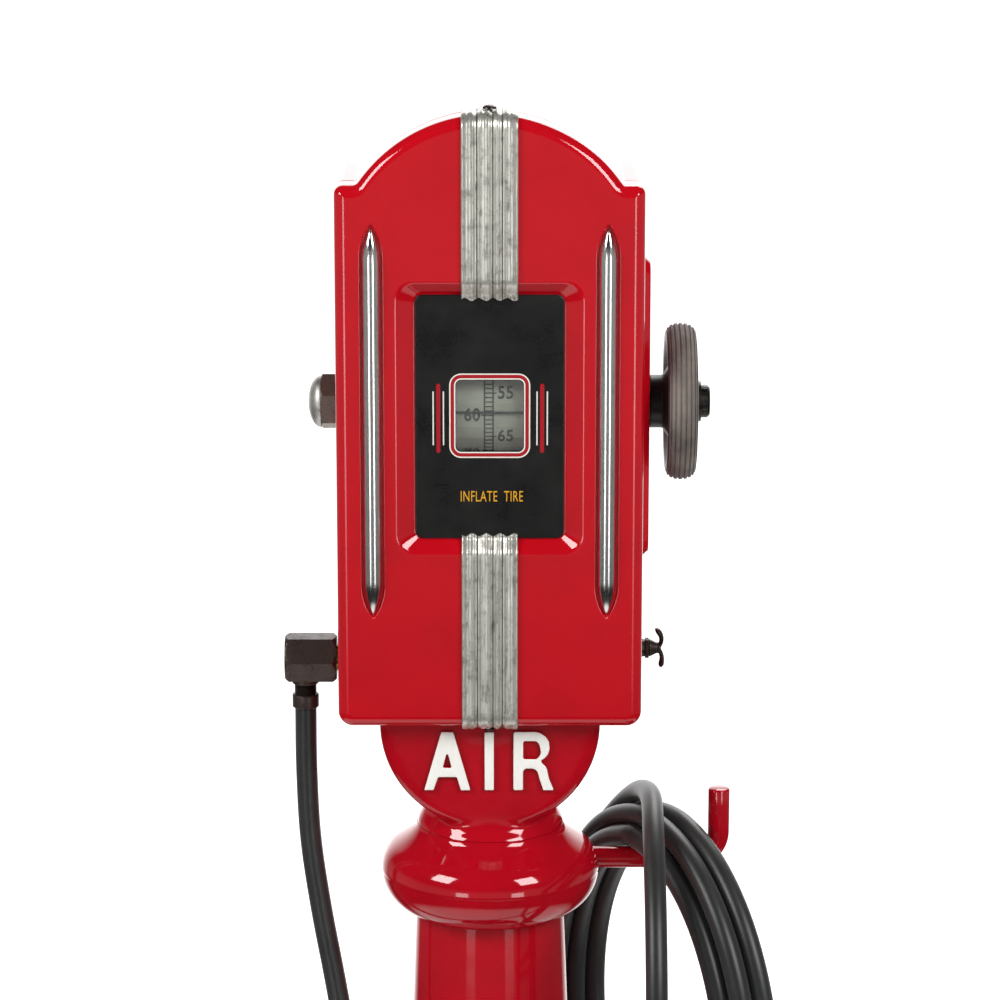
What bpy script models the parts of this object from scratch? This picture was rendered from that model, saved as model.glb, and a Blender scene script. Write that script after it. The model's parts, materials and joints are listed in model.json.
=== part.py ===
"""A service-station air meter: cast pedestal, glazed metering head and an air hose on a hook.

Metres, +Z up. The front faces -Y and the floor is z = 0. Each sub-part is one named object.
"""

from math import asin, atan2, cos, degrees, pi, radians, sin, sqrt, tau

import bmesh
import bpy
from mathutils import Matrix, Vector

# General
GAP = 0.0003                # between pieces that touch
MERGE = 0.000001
STEPS = 24                  # sides of a round piece
SMALL_STEPS = 12

# Pedestal, from the floor up
BASE_R = 0.200
BASE_H = 0.100
BASE_RIM = 0.016
BASE_BOLT_R = 0.007
BASE_BOLT_CIRCLE = 0.174
BASE_WEB = 0.012
COLUMN_TOP = 0.704
COLUMN_R_LOW = 0.0825
COLUMN_R_TOP = 0.0605
COLUMN_WALL = 0.006
RING_TOP = 0.776
RING_R = 0.0885
RING_BOWL_R = 0.035
RING_BORE_R = 0.046
HEAD_TOP = 0.874
HEAD_DISC_R = 0.088
HEAD_DISC_CENTRE = 0.870
HEAD_HALF_D = 0.050
HEAD_EDGE_R = 0.008
NECK_R = 0.0535
HEAD_CORE_R = 0.042
RISER_R = 0.01335
RISER_BORE_R = 0.0105
RISER_FOOT = 0.035
NUT_H = 0.012
NUT_R = 0.022

# Hose hook
HOOK_Z = 0.744
HOOK_R = 0.00875
HOOK_X = 0.186
HOOK_BEND_R = 0.022
HOOK_TIP = 0.803
HOOK_ROOT = 0.052

# Meter case
CASE_W = 0.240
CASE_D = 0.140
CASE_H = 0.487
ARCH_R = 0.1235
SHOULDER_H = 0.432
CORNER_R = 0.012
SHOULDER_R = 0.007
FILLET_R = 0.006
EDGE_R = 0.010
WALL = 0.0045
COVER_D = 0.033
GASKET_T = 0.0008
BOSS_R = 0.007
COVER_SCREW_L = 0.122
PAD_PROUD = 0.0055
PAD_W = 0.070
PAD_H = 0.234

# Dial recess and window
AXIS_H = 0.250              # control shaft above the case bottom
RECESS_HALF = (0.0725, 0.1072)
RECESS_DEPTH = 0.0095
PAN_WALL = 0.0035
PLATE_HALF = (0.058, 0.0968)
PLATE_T = 0.0012
PLATE_CORNER_R = 0.006
WINDOW_HALF = (0.0262, 0.02825)
WINDOW_CORNER_R = 0.004
GLASS_LIP = 0.0035
GLASS_T = 0.002
INDEX_RISE = 0.0025
INDEX_R = 0.001

# Trim
STRAP_W = 0.044
STRAP_T = 0.0026
STRAP_OVER_PLATE = 0.0035
STRAP_TOP_LENGTH = 0.022
SPEAR_X = 0.0915
SPEAR_W = 0.0142
SPEAR_PROUD = 0.0055
SPEAR_LOW = 0.093           # above the case bottom
SPEAR_HIGH = 0.400
SPEAR_TAPER = 0.027
GROOVE_MARGIN = 0.0014
GROOVE_DEPTH = 0.002
TRIM_SCREW_R = 0.0022
TOP_SCREW_Y = 0.015         # behind the case's front face
LOW_SCREW_Y = 0.0143

# Setting shaft, wheel and drum
SHAFT_R = 0.006
SHAFT_LEFT = -0.066
WHEEL_R = 0.062
WHEEL_IN = 0.0135           # inner edge of the tyre, from the side pad
WHEEL_W = 0.024
HUB_R = 0.021
CAP_NUT_R = 0.013
CAP_NUT_H = 0.0068
WASHER_R = 0.016
WASHER_T = 0.0018
BUSH_R = 0.0102
DRUM_R = 0.054
DRUM_HALF_W = 0.034
BRACKET_HALF_W = 0.044
BRACKET_T = 0.004
BRACKET_HALF_H = 0.018

# Regulator, on the shaft's axis inside the left wall
BONNET_END = -0.048
BONNET_R = 0.026
BONNET_BORE_R = 0.022
BONNET_THREAD_R = 0.031
FLANGE_R = 0.036
FLANGE_T = 0.006
DIAPHRAGM_X = -0.0825
DIAPHRAGM_T = 0.0018
NOSE_R = 0.013
NOSE_REACH = 0.011          # past the left wall's outer face
CHAMBER_R = 0.018
CHAMBER_D = 0.0174
SEAT_R = 0.005
SEAT_T = 0.004
INLET_CHAMBER_R = 0.0105
ACORN_HEX_R = 0.0228
ACORN_HEX_L = 0.0137
ACORN_DOME_R = 0.0205
ACORN_DOME_L = 0.010
FOLLOWER_T = 0.006
FOLLOWER_X = -0.0562
SPRING_PLATE_T = 0.0025
SPRING_R = 0.0135
SPRING_WIRE_R = 0.0016
SPRING_TURNS = 4.5
POPPET_R = 0.0085

# Air way and hose fittings
OUTLET_H = 0.039            # above the case bottom
OUTLET_TUBE_R = 0.005
OUTLET_TUBE_X = -0.0975
NIPPLE_R = 0.0105
ELBOW_AF = 0.0385
ELBOW_LEFT = -0.165
ELBOW_GAP = 0.0035          # from the wall to the elbow
STEM_X = -0.149
STEM_NECK_R = 0.0085
COLLAR_R = 0.0105
COLLAR_TOP = 0.009          # above the case bottom
COLLAR_H = 0.0112
INLET_TUBE_R = 0.004
INLET_X = -0.1105

# Bleed cock on the right wall
COCK_H = 0.047              # above the case bottom
COCK_SHANK_R = 0.005
COCK_FLANGE_R = 0.0085
WING_HALF_H = 0.017
WING_REACH = 0.0185         # past the right wall

# Bell
BELL_H = 0.411              # above the case bottom
BELL_R = 0.033
BELL_T = 0.002
BELL_FRONT = 0.020
BELL_DEPTH = 0.022
HAMMER_X = 0.0402
HAMMER_RISE = 0.045         # pivot above the bell's centre
HAMMER_Y = 0.0352
HAMMER_BALL_R = 0.005

# Hose, coil and chuck
HOSE_R = 0.00875
COIL_CENTRE = (0.1385, 0.0, 0.5891)
COIL_TURN = 28              # degrees about Z, from hanging square to the hook
COIL_OUTER = (0.182, 0.222)
COIL_INNER = (0.128, 0.1652)
COIL_HALF_W = 0.029
HOSE_ROUTE = [
    (-0.149, 0.000, 0.8715), (-0.149, 0.000, 0.8450), (-0.1485, -0.002, 0.8100), (-0.146, -0.004, 0.7620),
    (-0.1395, -0.008, 0.7140), (-0.131, -0.013, 0.6650), (-0.122, -0.020, 0.6200), (-0.112, -0.036, 0.5600),
    (-0.100, -0.058, 0.5000), (-0.083, -0.084, 0.4450), (-0.057, -0.109, 0.4000), (-0.022, -0.131, 0.3700),
    (0.018, -0.146, 0.3590), (0.058, -0.155, 0.3700), (0.092, -0.1565, 0.3990), (0.120, -0.153, 0.4330),
    (0.1454, -0.1466, 0.4690), (0.1701, -0.1335, 0.4900),
]
TAIL_TOP = (0.0681, 0.1325, 0.4507)
TAIL_LENGTH = 0.110
CHUCK_R = 0.0115
CHUCK_L = 0.062
CHUCK_HEAD_R = 0.011
PIN_R = 0.0018
PIN_TRAVEL = 0.003
TIE_R = 0.0035
TIE_Z = 0.625

# Worked out from the values above
CASE_Z = HEAD_TOP
AXIS_Z = CASE_Z + AXIS_H
FRONT = -CASE_D / 2
BACK = CASE_D / 2
SIDE = CASE_W / 2
LIP = FRONT + COVER_D
ARCH_Z = CASE_Z + CASE_H - ARCH_R
SHOULDER_Z = CASE_Z + SHOULDER_H
RECESS_FLOOR = FRONT + RECESS_DEPTH
PLATE_FRONT = RECESS_FLOOR - GAP - PLATE_T
WINDOW_Z = AXIS_Z + 0.00125
PAD_X = SIDE + PAD_PROUD
TYRE_IN = PAD_X + WHEEL_IN
TYRE_OUT = TYRE_IN + WHEEL_W
WHEEL_FACE = TYRE_OUT + 0.002
OUTLET_Z = CASE_Z + OUTLET_H
COCK_Z = CASE_Z + COCK_H
BELL_Z = CASE_Z + BELL_H
INNER_BACK = BACK - WALL - GAP
BODY_FACE = DIAPHRAGM_X - DIAPHRAGM_T - GAP
BODY_END = -SIDE + WALL + GAP
SEAT_X = BODY_FACE - CHAMBER_D
NOSE_END = -SIDE - NOSE_REACH
ACORN_FACE = -SIDE - GAP
ACORN_FLOOR = ACORN_FACE - ACORN_HEX_L + 0.0015
PLATE_X = DIAPHRAGM_X + GAP


def clear_scene():
    for obj in list(bpy.data.objects):
        bpy.data.objects.remove(obj, do_unlink=True)


def material(name, colour, roughness, metallic=0.0):
    mat = bpy.data.materials.new(name)
    mat.use_nodes = True
    shader = mat.node_tree.nodes["Principled BSDF"]
    shader.inputs["Base Color"].default_value = (*colour, 1.0)
    shader.inputs["Roughness"].default_value = roughness
    shader.inputs["Metallic"].default_value = metallic
    return mat


def make_object(name, bm, mat, at=(0, 0, 0), sharp=40):
    bmesh.ops.remove_doubles(bm, verts=bm.verts, dist=MERGE)
    bmesh.ops.recalc_face_normals(bm, faces=bm.faces)
    mesh = bpy.data.meshes.new(name)
    bm.to_mesh(mesh)
    bm.free()
    mesh.shade_smooth()
    mesh.set_sharp_from_angle(angle=radians(sharp))
    obj = bpy.data.objects.new(name, mesh)
    obj.data.materials.append(mat)
    obj.location = at
    bpy.context.collection.objects.link(obj)
    return obj


def arc(centre, radius, start, end, steps):
    """Points on an arc, from start to end in degrees, both ends included."""
    angles = [radians(start + (end - start) * i / steps) for i in range(steps + 1)]
    return [(centre[0] + radius * cos(a), centre[1] + radius * sin(a)) for a in angles]


def curve_points(start, pull_start, pull_end, end, steps):
    """Points on a cubic curve, both ends included."""
    points = []
    for i in range(steps + 1):
        t = i / steps
        weights = ((1 - t) ** 3, 3 * t * (1 - t) ** 2, 3 * t * t * (1 - t), t ** 3)
        corners = (start, pull_start, pull_end, end)
        points.append(tuple(sum(w * c[k] for w, c in zip(weights, corners)) for k in range(2)))
    return points


def rounded_rectangle(half, radius, centre=(0, 0), steps=3):
    points = []
    for quarter, (sx, sz) in enumerate(((1, 1), (-1, 1), (-1, -1), (1, -1))):
        corner = (centre[0] + sx * (half[0] - radius), centre[1] + sz * (half[1] - radius))
        points += arc(corner, radius, 90 * quarter, 90 * quarter + 90, steps)
    return points


def bridge(bm, rings, closed=False):
    """Faces between neighbouring rings of points, with a cap on each end unless they close up."""
    loops = [[bm.verts.new(point) for point in ring] for ring in rings]
    pairs = list(zip(loops, loops[1:]))
    if closed:
        pairs.append((loops[-1], loops[0]))
    else:
        bm.faces.new(loops[0])
        bm.faces.new(loops[-1])
    for low, high in pairs:
        for i in range(len(low)):
            j = (i + 1) % len(low)
            bm.faces.new((low[i], low[j], high[j], high[i]))


def lofted(name, layers, mat, at=(0, 0, 0), sharp=40):
    """A solid through (y, outline) layers, each outline a list of (x, z)."""
    bm = bmesh.new()
    bridge(bm, [[(x, y, z) for x, z in outline] for y, outline in layers])
    return make_object(name, bm, mat, at, sharp)


AXES = {
    "X": Matrix.Rotation(pi / 2, 4, "Y"),
    "Y": Matrix.Rotation(-pi / 2, 4, "X"),
    "Z": Matrix.Identity(4),
}


def turned(name, profile, mat, axis="Z", at=(0, 0, 0), steps=STEPS, turn=0.0, sharp=40):
    """A solid turned about an axis. The profile goes round the section as (radius, position)."""
    bm = bmesh.new()
    corners = [bm.verts.new((radius, 0, along)) for radius, along in profile]
    edges = []
    for low, high in zip(corners, corners[1:] + corners[:1]):
        if low.co.x > 0 or high.co.x > 0:
            edges.append(bm.edges.new((low, high)))
    bmesh.ops.spin(
        bm, geom=corners + edges, cent=(0, 0, 0), axis=(0, 0, 1), angle=tau, steps=steps, use_merge=True
    )
    bm.transform(AXES[axis] @ Matrix.Rotation(radians(turn), 4, "Z"))
    return make_object(name, bm, mat, at, sharp)


def cylinder(name, radius, low, high, mat, axis="Z", at=(0, 0, 0), steps=STEPS, turn=0.0):
    profile = [(0, low), (radius, low), (radius, high), (0, high)]
    return turned(name, profile, mat, axis, at, steps, turn)


def block(name, low, high, mat, radius=0.0, at=(0, 0, 0)):
    bm = bmesh.new()
    bmesh.ops.create_cube(bm, size=1.0)
    size = [b - a for a, b in zip(low, high)]
    middle = [(a + b) / 2 for a, b in zip(low, high)]
    bm.transform(Matrix.Translation(middle) @ Matrix.Diagonal((*size, 1.0)))
    obj = make_object(name, bm, mat, at)
    if radius:
        bevel = obj.modifiers.new("edges", "BEVEL")
        bevel.width = radius
        bevel.segments = 2
    return obj


def rod(name, points, radius, mat, resolution=2, at=(0, 0, 0)):
    """A round bar along points, with flat ends."""
    data = bpy.data.curves.new(name, "CURVE")
    data.dimensions = "3D"
    data.bevel_depth = radius
    data.bevel_resolution = resolution
    data.use_fill_caps = True
    spline = data.splines.new("POLY")
    spline.points.add(len(points) - 1)
    for target, point in zip(spline.points, points):
        target.co = (*point, 1.0)
    obj = bpy.data.objects.new(name, data)
    obj.data.materials.append(mat)
    obj.location = at
    bpy.context.collection.objects.link(obj)
    return obj


def bent_bar(name, path, radius, mat, at, sides=8):
    """A round bar along an (x, z) path, as a mesh that a Boolean can use."""
    rings = []
    for i, point in enumerate(path):
        before = Vector(path[max(i - 1, 0)])
        after = Vector(path[min(i + 1, len(path) - 1)])
        along = (after - before).normalized()
        ring = []
        for k in range(sides):
            angle = tau * k / sides
            reach = radius * cos(angle)
            ring.append((point[0] - along.y * reach, radius * sin(angle), point[1] + along.x * reach))
        rings.append(ring)
    bm = bmesh.new()
    bridge(bm, rings)
    return make_object(name, bm, mat, at)


def combine(target, tools, operation):
    for tool in tools:
        tool.hide_render = True
        tool.display_type = "WIRE"
        boolean = target.modifiers.new(tool.name, "BOOLEAN")
        boolean.operation = operation
        boolean.object = tool


def cut(target, *tools):
    combine(target, tools, "DIFFERENCE")


def join(target, *tools):
    combine(target, tools, "UNION")


def smooth_route(points, spacing):
    """Points at about the given spacing along a smooth curve through the route's points."""
    knots = [Vector(p) for p in points]
    knots = [2 * knots[0] - knots[1]] + knots + [2 * knots[-1] - knots[-2]]
    result = []
    for a, b, c, d in zip(knots, knots[1:], knots[2:], knots[3:]):
        steps = max(1, round((c - b).length / spacing))
        for i in range(steps):
            t = i / steps
            bend = 2 * a - 5 * b + 4 * c - d
            twist = 3 * b - a - 3 * c + d
            result.append((2 * b + (c - a) * t + bend * t * t + twist * t ** 3) / 2)
    result.append(knots[-2])
    return result


def helix(radius, low, high, turns, per_turn=9):
    """Points of a coil spring about X."""
    count = int(turns * per_turn)
    points = []
    for i in range(count + 1):
        angle = tau * i / per_turn
        points.append((low + (high - low) * i / count, radius * cos(angle), radius * sin(angle)))
    return points


def case_outline(inset=0.0):
    """The case seen from the front, as (x, z), with every edge moved in by inset."""
    least = 0.0005
    corner = max(CORNER_R - inset, least)
    shoulder = max(SHOULDER_R - inset, least)
    fillet_z = SHOULDER_Z + FILLET_R
    fillet_x = sqrt((ARCH_R + FILLET_R) ** 2 - (fillet_z - ARCH_Z) ** 2)
    lean = degrees(atan2(fillet_z - ARCH_Z, fillet_x))
    side = SIDE - inset
    half = arc((side - corner, CASE_Z + inset + corner), corner, -90, 0, 3)
    half += arc((side - shoulder, SHOULDER_Z - inset - shoulder), shoulder, 0, 90, 3)
    half += arc((fillet_x, fillet_z), FILLET_R + inset, 270, 180 + lean, 2)
    arch = arc((0, ARCH_Z), ARCH_R - inset, lean, 180 - lean, 14)
    return half + arch[1:-1] + [(-x, z) for x, z in reversed(half)]


def shell_layers(lip, end):
    """Layers of an open shell, from its inner floor out over the lip and round to its outer face."""
    way = 1 if end > lip else -1
    inner = []
    outer = [(lip, case_outline())]
    for i in range(3):
        angle = radians(45 * i)
        for radius, wall, layers in ((EDGE_R - WALL, WALL, inner), (EDGE_R, 0, outer)):
            depth = end - way * (wall + radius * (1 - sin(angle)))
            layers.append((depth, case_outline(wall + radius * (1 - cos(angle)))))
    return inner[::-1] + [(lip, case_outline(WALL))] + outer


def spear_half_width(along, width):
    """Half the width of a pointed bar at a distance from its nearer point."""
    if along >= SPEAR_TAPER:
        return width / 2
    return width / 2 * sin(pi / 2 * (along / SPEAR_TAPER) ** 0.8)


def spear_stations(low, high):
    taper = [SPEAR_TAPER * t for t in (0.02, 0.15, 0.35, 0.6, 1.0)]
    return [low + t for t in taper] + [high - t for t in reversed(taper)]


MATERIALS = {
    "red_enamel": material("red_enamel", (0.50, 0.007, 0.022), 0.12),
    "black_enamel": material("black_enamel", (0.012, 0.012, 0.013), 0.25),
    "cast_zinc": material("cast_zinc", (0.36, 0.36, 0.34), 0.5, 1.0),
    "chrome": material("chrome", (0.75, 0.75, 0.75), 0.1, 1.0),
    "steel": material("steel", (0.45, 0.44, 0.42), 0.35, 1.0),
    "dark_bronze": material("dark_bronze", (0.045, 0.036, 0.03), 0.45, 1.0),
    "brass": material("brass", (0.60, 0.42, 0.16), 0.3, 1.0),
    "glass": material("glass", (0.9, 0.95, 0.93), 0.03),
    "rubber": material("rubber", (0.025, 0.026, 0.026), 0.6),
    "grip_rubber": material("grip_rubber", (0.15, 0.125, 0.11), 0.8),
    "drum_paint": material("drum_paint", (0.28, 0.28, 0.24), 0.5),
    "cord": material("cord", (0.06, 0.06, 0.055), 0.8),
}


def build_pedestal():
    red = MATERIALS["red_enamel"]
    steel = MATERIALS["steel"]
    shoulder_r = COLUMN_R_LOW + 0.0075
    outer = [(BASE_R, 0), (BASE_R, BASE_RIM - 0.005), (BASE_R - 0.0015, BASE_RIM - 0.0015)]
    outer.append((BASE_R - 0.005, BASE_RIM))
    outer += curve_points(
        (BASE_R - 0.045, BASE_RIM + 0.002), (shoulder_r + 0.030, BASE_RIM + 0.006),
        (shoulder_r + 0.004, BASE_H - 0.045), (shoulder_r, BASE_H - 0.014), 6,
    )
    outer.append((shoulder_r, BASE_H))
    inner_r = COLUMN_R_LOW - COLUMN_WALL
    hollow = curve_points(
        (inner_r, BASE_H - BASE_WEB), (inner_r + 0.004, 0.050), (inner_r + 0.030, 0.014),
        (BASE_R - 0.060, 0.008), 5,
    )
    bore_r = RISER_R + GAP
    profile = outer + [(bore_r, BASE_H), (bore_r, BASE_H - BASE_WEB)] + hollow + [(BASE_R - 0.060, 0)]
    base = turned("pedestal_base", profile, red, sharp=60)
    for i in range(4):
        angle = radians(45 + 90 * i)
        spot = (BASE_BOLT_CIRCLE * cos(angle), BASE_BOLT_CIRCLE * sin(angle), 0)
        cut(base, cylinder(f"bolt_hole_{i}", BASE_BOLT_R, -0.01, 0.04, red, at=spot, steps=SMALL_STEPS))

    low = BASE_H + GAP
    high = COLUMN_TOP - GAP
    turned("pedestal_column", [
        (COLUMN_R_LOW, low), (COLUMN_R_TOP, high),
        (COLUMN_R_TOP - COLUMN_WALL, high), (COLUMN_R_LOW - COLUMN_WALL, low),
    ], red)

    equator = COLUMN_TOP + RING_BOWL_R - 0.002
    bowl_x = RING_R - RING_BOWL_R
    bowl = arc((bowl_x, equator), RING_BOWL_R, -78, 0, 6)
    crown_r = RING_BOWL_R - 0.010
    crown = arc((RING_R - crown_r, equator), crown_r, 0, 55, 4)
    neck_top = (NECK_R + 0.006, RING_TOP - GAP)
    last = crown[-1]
    sweep = curve_points(
        last, (last[0] - 0.0082, last[1] + 0.0057), (neck_top[0] + 0.0005, neck_top[1] - 0.006), neck_top, 4,
    )
    foot = (COLUMN_R_TOP, COLUMN_TOP)
    bore = [(RING_BORE_R, RING_TOP - GAP), (RING_BORE_R, COLUMN_TOP)]
    profile = [foot] + bowl[1:] + crown[1:] + sweep[1:] + bore
    ring = turned("pedestal_ring", profile, red, sharp=60)
    cut(ring, cylinder("hook_hole", HOOK_R + 2 * GAP, 0.040, 0.110, red, "X", (0, 0, HOOK_Z)))

    bend = arc((HOOK_X - HOOK_BEND_R, HOOK_Z + HOOK_BEND_R), HOOK_BEND_R, -90, 0, 5)
    path = [(HOOK_ROOT, HOOK_Z)] + bend + [(HOOK_X, HOOK_TIP)]
    rod("hose_hook", [(x, 0, z) for x, z in path], HOOK_R, red, resolution=3)

    riser_top = CASE_Z + 0.023
    turned("riser_pipe", [
        (RISER_R, RISER_FOOT), (RISER_R, riser_top), (RISER_BORE_R, riser_top), (RISER_BORE_R, RISER_FOOT),
    ], steel, steps=24)
    for name, low in (
        ("riser_top_nut", CASE_Z + WALL + GAP),
        ("riser_lower_nut", BASE_H - BASE_WEB - GAP - NUT_H),
    ):
        nut = cylinder(name, NUT_R, low, low + NUT_H, steel, steps=6)
        cut(nut, cylinder(name + "_bore", RISER_R + GAP, low - 0.01, low + NUT_H + 0.01, steel, steps=24))


def build_sign_head():
    red = MATERIALS["red_enamel"]
    layers = []
    for side in (-1, 1):
        turns = [radians(30 * i) for i in range(4)]
        for angle in turns if side > 0 else turns[::-1]:
            inset = HEAD_EDGE_R * (1 - cos(angle))
            depth = side * (HEAD_HALF_D - HEAD_EDGE_R * (1 - sin(angle)))
            radius = HEAD_DISC_R - inset
            top = HEAD_TOP - GAP
            outline = arc((0, HEAD_DISC_CENTRE), radius, 180, 360, 16)
            layers.append((depth, outline + [(radius, top), (-radius, top)]))
    head = lofted("sign_head", layers, red)
    neck = turned("head_neck", [
        (0, RING_TOP), (NECK_R + 0.0055, RING_TOP), (NECK_R + 0.002, RING_TOP + 0.004),
        (NECK_R, RING_TOP + 0.011), (NECK_R - 0.001, RING_TOP + 0.050), (0, RING_TOP + 0.050),
    ], red)
    core_top = HEAD_TOP - 0.012
    core = turned("head_core", [
        (0, RING_TOP - 0.01), (HEAD_CORE_R, RING_TOP - 0.01), (HEAD_CORE_R, core_top - 0.012),
        (HEAD_CORE_R - 0.004, core_top - 0.003), (HEAD_CORE_R - 0.014, core_top), (0, core_top),
    ], red)
    hole = cylinder("head_riser_hole", RISER_R + GAP, core_top - 0.01, HEAD_TOP + 0.01, red, steps=24)
    join(head, neck)
    cut(head, core, hole)


def boss_places():
    """The four case screws, as (x, z)."""
    x = SIDE - WALL - BOSS_R + 0.001
    return [(side * x, z) for side in (-1, 1) for z in (CASE_Z + 0.011, SHOULDER_Z - 0.015)]


def build_case():
    red = MATERIALS["red_enamel"]
    steel = MATERIALS["steel"]
    lip = LIP + GASKET_T / 2 + GAP
    rear = lofted("rear_case", shell_layers(lip, BACK), red)
    pad_z = AXIS_Z
    pad_low = (SIDE - WALL / 2, -PAD_W / 2, pad_z - PAD_H / 2)
    pad_high = (PAD_X, PAD_W / 2, pad_z + PAD_H / 2)
    pad = block("wall_pad", pad_low, pad_high, red, 0.004)
    posts = []
    holes = []
    for i, (x, z) in enumerate(boss_places()):
        posts.append(cylinder(f"rear_post_{i}", BOSS_R, lip, BACK - 0.002, red, "Y", (x, 0, z), SMALL_STEPS))
        holes.append(cylinder(f"rear_hole_{i}", 0.003, -0.1, 0.1, red, "Y", (x, 0, z), 12))
    join(rear, pad, *posts)
    cut(
        rear, *holes,
        cylinder("bush_hole", BUSH_R + GAP, SIDE - 0.02, SIDE + 0.02, red, "X", (0, 0, AXIS_Z)),
        cylinder("nose_hole", NOSE_R + GAP, -SIDE - 0.02, -SIDE + 0.02, red, "X", (0, 0, AXIS_Z)),
        cylinder("nipple_hole", NIPPLE_R + GAP, -SIDE - 0.02, -SIDE + 0.02, red, "X", (0, 0, OUTLET_Z), 24),
        cylinder("cock_hole", COCK_SHANK_R + GAP, SIDE - 0.02, SIDE + 0.02, red, "X", (0, 0, COCK_Z), 12),
        cylinder("floor_hole", RISER_R + GAP, CASE_Z - 0.01, CASE_Z + 0.01, red, steps=24),
    )
    cut(rear, cylinder("bracket_hole", 0.0025 + GAP, BACK - 0.02, BACK + 0.01, red, "Y", (0, 0, AXIS_Z), 12))

    gasket_low = LIP - GASKET_T / 2
    gasket_high = LIP + GASKET_T / 2
    inside = case_outline(WALL - GAP)
    outside = case_outline(GAP)
    bm = bmesh.new()
    bridge(bm, [[(x, y, z) for x, z in outline] for y, outline in (
        (gasket_low, inside), (gasket_low, outside), (gasket_high, outside), (gasket_high, inside),
    )], closed=True)
    make_object("case_gasket", bm, MATERIALS["rubber"])

    for i, (x, z) in enumerate(boss_places()):
        cheese_screw(f"cover_screw_{i + 1}", (x, BACK, z), 0.0035, COVER_SCREW_L, 0.005, 0.0025)


def cheese_screw(name, at, head, length, head_r, shank_r):
    """A screw driven from the back, along -Y: its head seats on the face that at lies on."""
    seat = GAP
    turned(name, [
        (0, head), (head_r * 0.8, head), (head_r, head * 0.6), (head_r, seat), (shank_r, seat),
        (shank_r, -length), (0, -length),
    ], MATERIALS["steel"], "Y", at, 12)


def build_front_cover():
    red = MATERIALS["red_enamel"]
    lip = LIP - GASKET_T / 2 - GAP
    cover = lofted("front_cover", shell_layers(lip, FRONT), red)
    pan_back = RECESS_FLOOR + PAN_WALL
    half = (RECESS_HALF[0] + 0.002, RECESS_HALF[1] + 0.002)
    pan = lofted("recess_pan", [
        (FRONT + 0.001, rounded_rectangle(half, 0.010, (0, AXIS_Z))),
        (pan_back, rounded_rectangle((half[0] - 0.004, half[1] - 0.004), 0.008, (0, AXIS_Z))),
    ], red)
    join(cover, pan)

    # The recess walls slope from the face down to the plate's seat.
    seat = (PLATE_HALF[0] + GAP, PLATE_HALF[1] + GAP)
    slope = ((RECESS_HALF[0] - seat[0]) / RECESS_DEPTH, (RECESS_HALF[1] - seat[1]) / RECESS_DEPTH)
    over = 0.001
    wide = (RECESS_HALF[0] + slope[0] * over, RECESS_HALF[1] + slope[1] * over)
    recess = lofted("dial_recess", [
        (FRONT - over, rounded_rectangle(wide, 0.012, (0, AXIS_Z))),
        (RECESS_FLOOR, rounded_rectangle(seat, PLATE_CORNER_R, (0, AXIS_Z))),
    ], red)
    glass_half = (WINDOW_HALF[0] + GLASS_LIP, WINDOW_HALF[1] + GLASS_LIP)
    hole_outline = rounded_rectangle((glass_half[0] + GAP, glass_half[1] + GAP), 0.006, (0, WINDOW_Z))
    window = lofted("window_hole", [(FRONT, hole_outline), (pan_back + 0.01, hole_outline)], red)
    cut(cover, recess, window)
    for side in (-1, 1):
        low = SPEAR_LOW - GROOVE_MARGIN * 2
        high = SPEAR_HIGH + GROOVE_MARGIN * 2
        stations = spear_stations(low, high)
        width = SPEAR_W + 2 * GROOVE_MARGIN
        half_widths = [spear_half_width(min(z - low, high - z), width) for z in stations]
        outline = [(SPEAR_X * side + w, CASE_Z + z) for w, z in zip(half_widths, stations)]
        outline += [(SPEAR_X * side - w, CASE_Z + z) for w, z in reversed(list(zip(half_widths, stations)))]
        cut(cover, lofted(f"groove_{side}", [(FRONT - over, outline), (FRONT + GROOVE_DEPTH, outline)], red))
    for name, y, z in (
        ("top_screw_hole", FRONT + TOP_SCREW_Y, CASE_Z + CASE_H),
        ("low_screw_hole", FRONT + LOW_SCREW_Y, CASE_Z),
    ):
        cut(cover, cylinder(name, TRIM_SCREW_R + GAP, -0.015, 0.015, red, at=(0, y, z), steps=12))
    for i, (x, z) in enumerate(boss_places()):
        post = [
            (0, FRONT + 0.002), (BOSS_R, FRONT + 0.002), (BOSS_R, lip), (0.0028, lip),
            (0.0028, BACK - COVER_SCREW_L - 0.002), (0, BACK - COVER_SCREW_L - 0.002),
        ]
        join(cover, turned(f"cover_post_{i}", post, red, "Y", (x, 0, z), SMALL_STEPS))


def build_spears():
    for side, name in ((-1, "spear_left"), (1, "spear_right")):
        rings = []
        back = FRONT + GROOVE_DEPTH - GAP
        for z in spear_stations(SPEAR_LOW, SPEAR_HIGH):
            half = spear_half_width(min(z - SPEAR_LOW, SPEAR_HIGH - z), SPEAR_W)
            height = (SPEAR_PROUD + GROOVE_DEPTH - GAP) * (2 * half / SPEAR_W) ** 0.7
            section = arc((0, 0), 1, 180, 360, 7)
            rings.append([(SPEAR_X * side + half * u, back + height * v, CASE_Z + z) for u, v in section])
        bm = bmesh.new()
        bridge(bm, rings)
        make_object(name, bm, MATERIALS["chrome"])


def strap(name, path, mat):
    """A metal strap over (y, z, ny, nz, sag) stations: a point of its inner face, its outward normal,
    and how much of the arch's fall across the strap it follows."""
    across = [STRAP_W * (i / 4 - 0.5) for i in range(5)]
    rings = []
    for y, z, ny, nz, sag in path:
        ring = []
        for lift, row in ((0, across), (STRAP_T, across[::-1])):
            for x in row:
                fall = sag * (ARCH_R - sqrt(ARCH_R ** 2 - x ** 2))
                ring.append((x, y + ny * lift, z + nz * lift - fall))
        rings.append(ring)
    bm = bmesh.new()
    bridge(bm, rings)
    return make_object(name, bm, mat)


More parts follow.
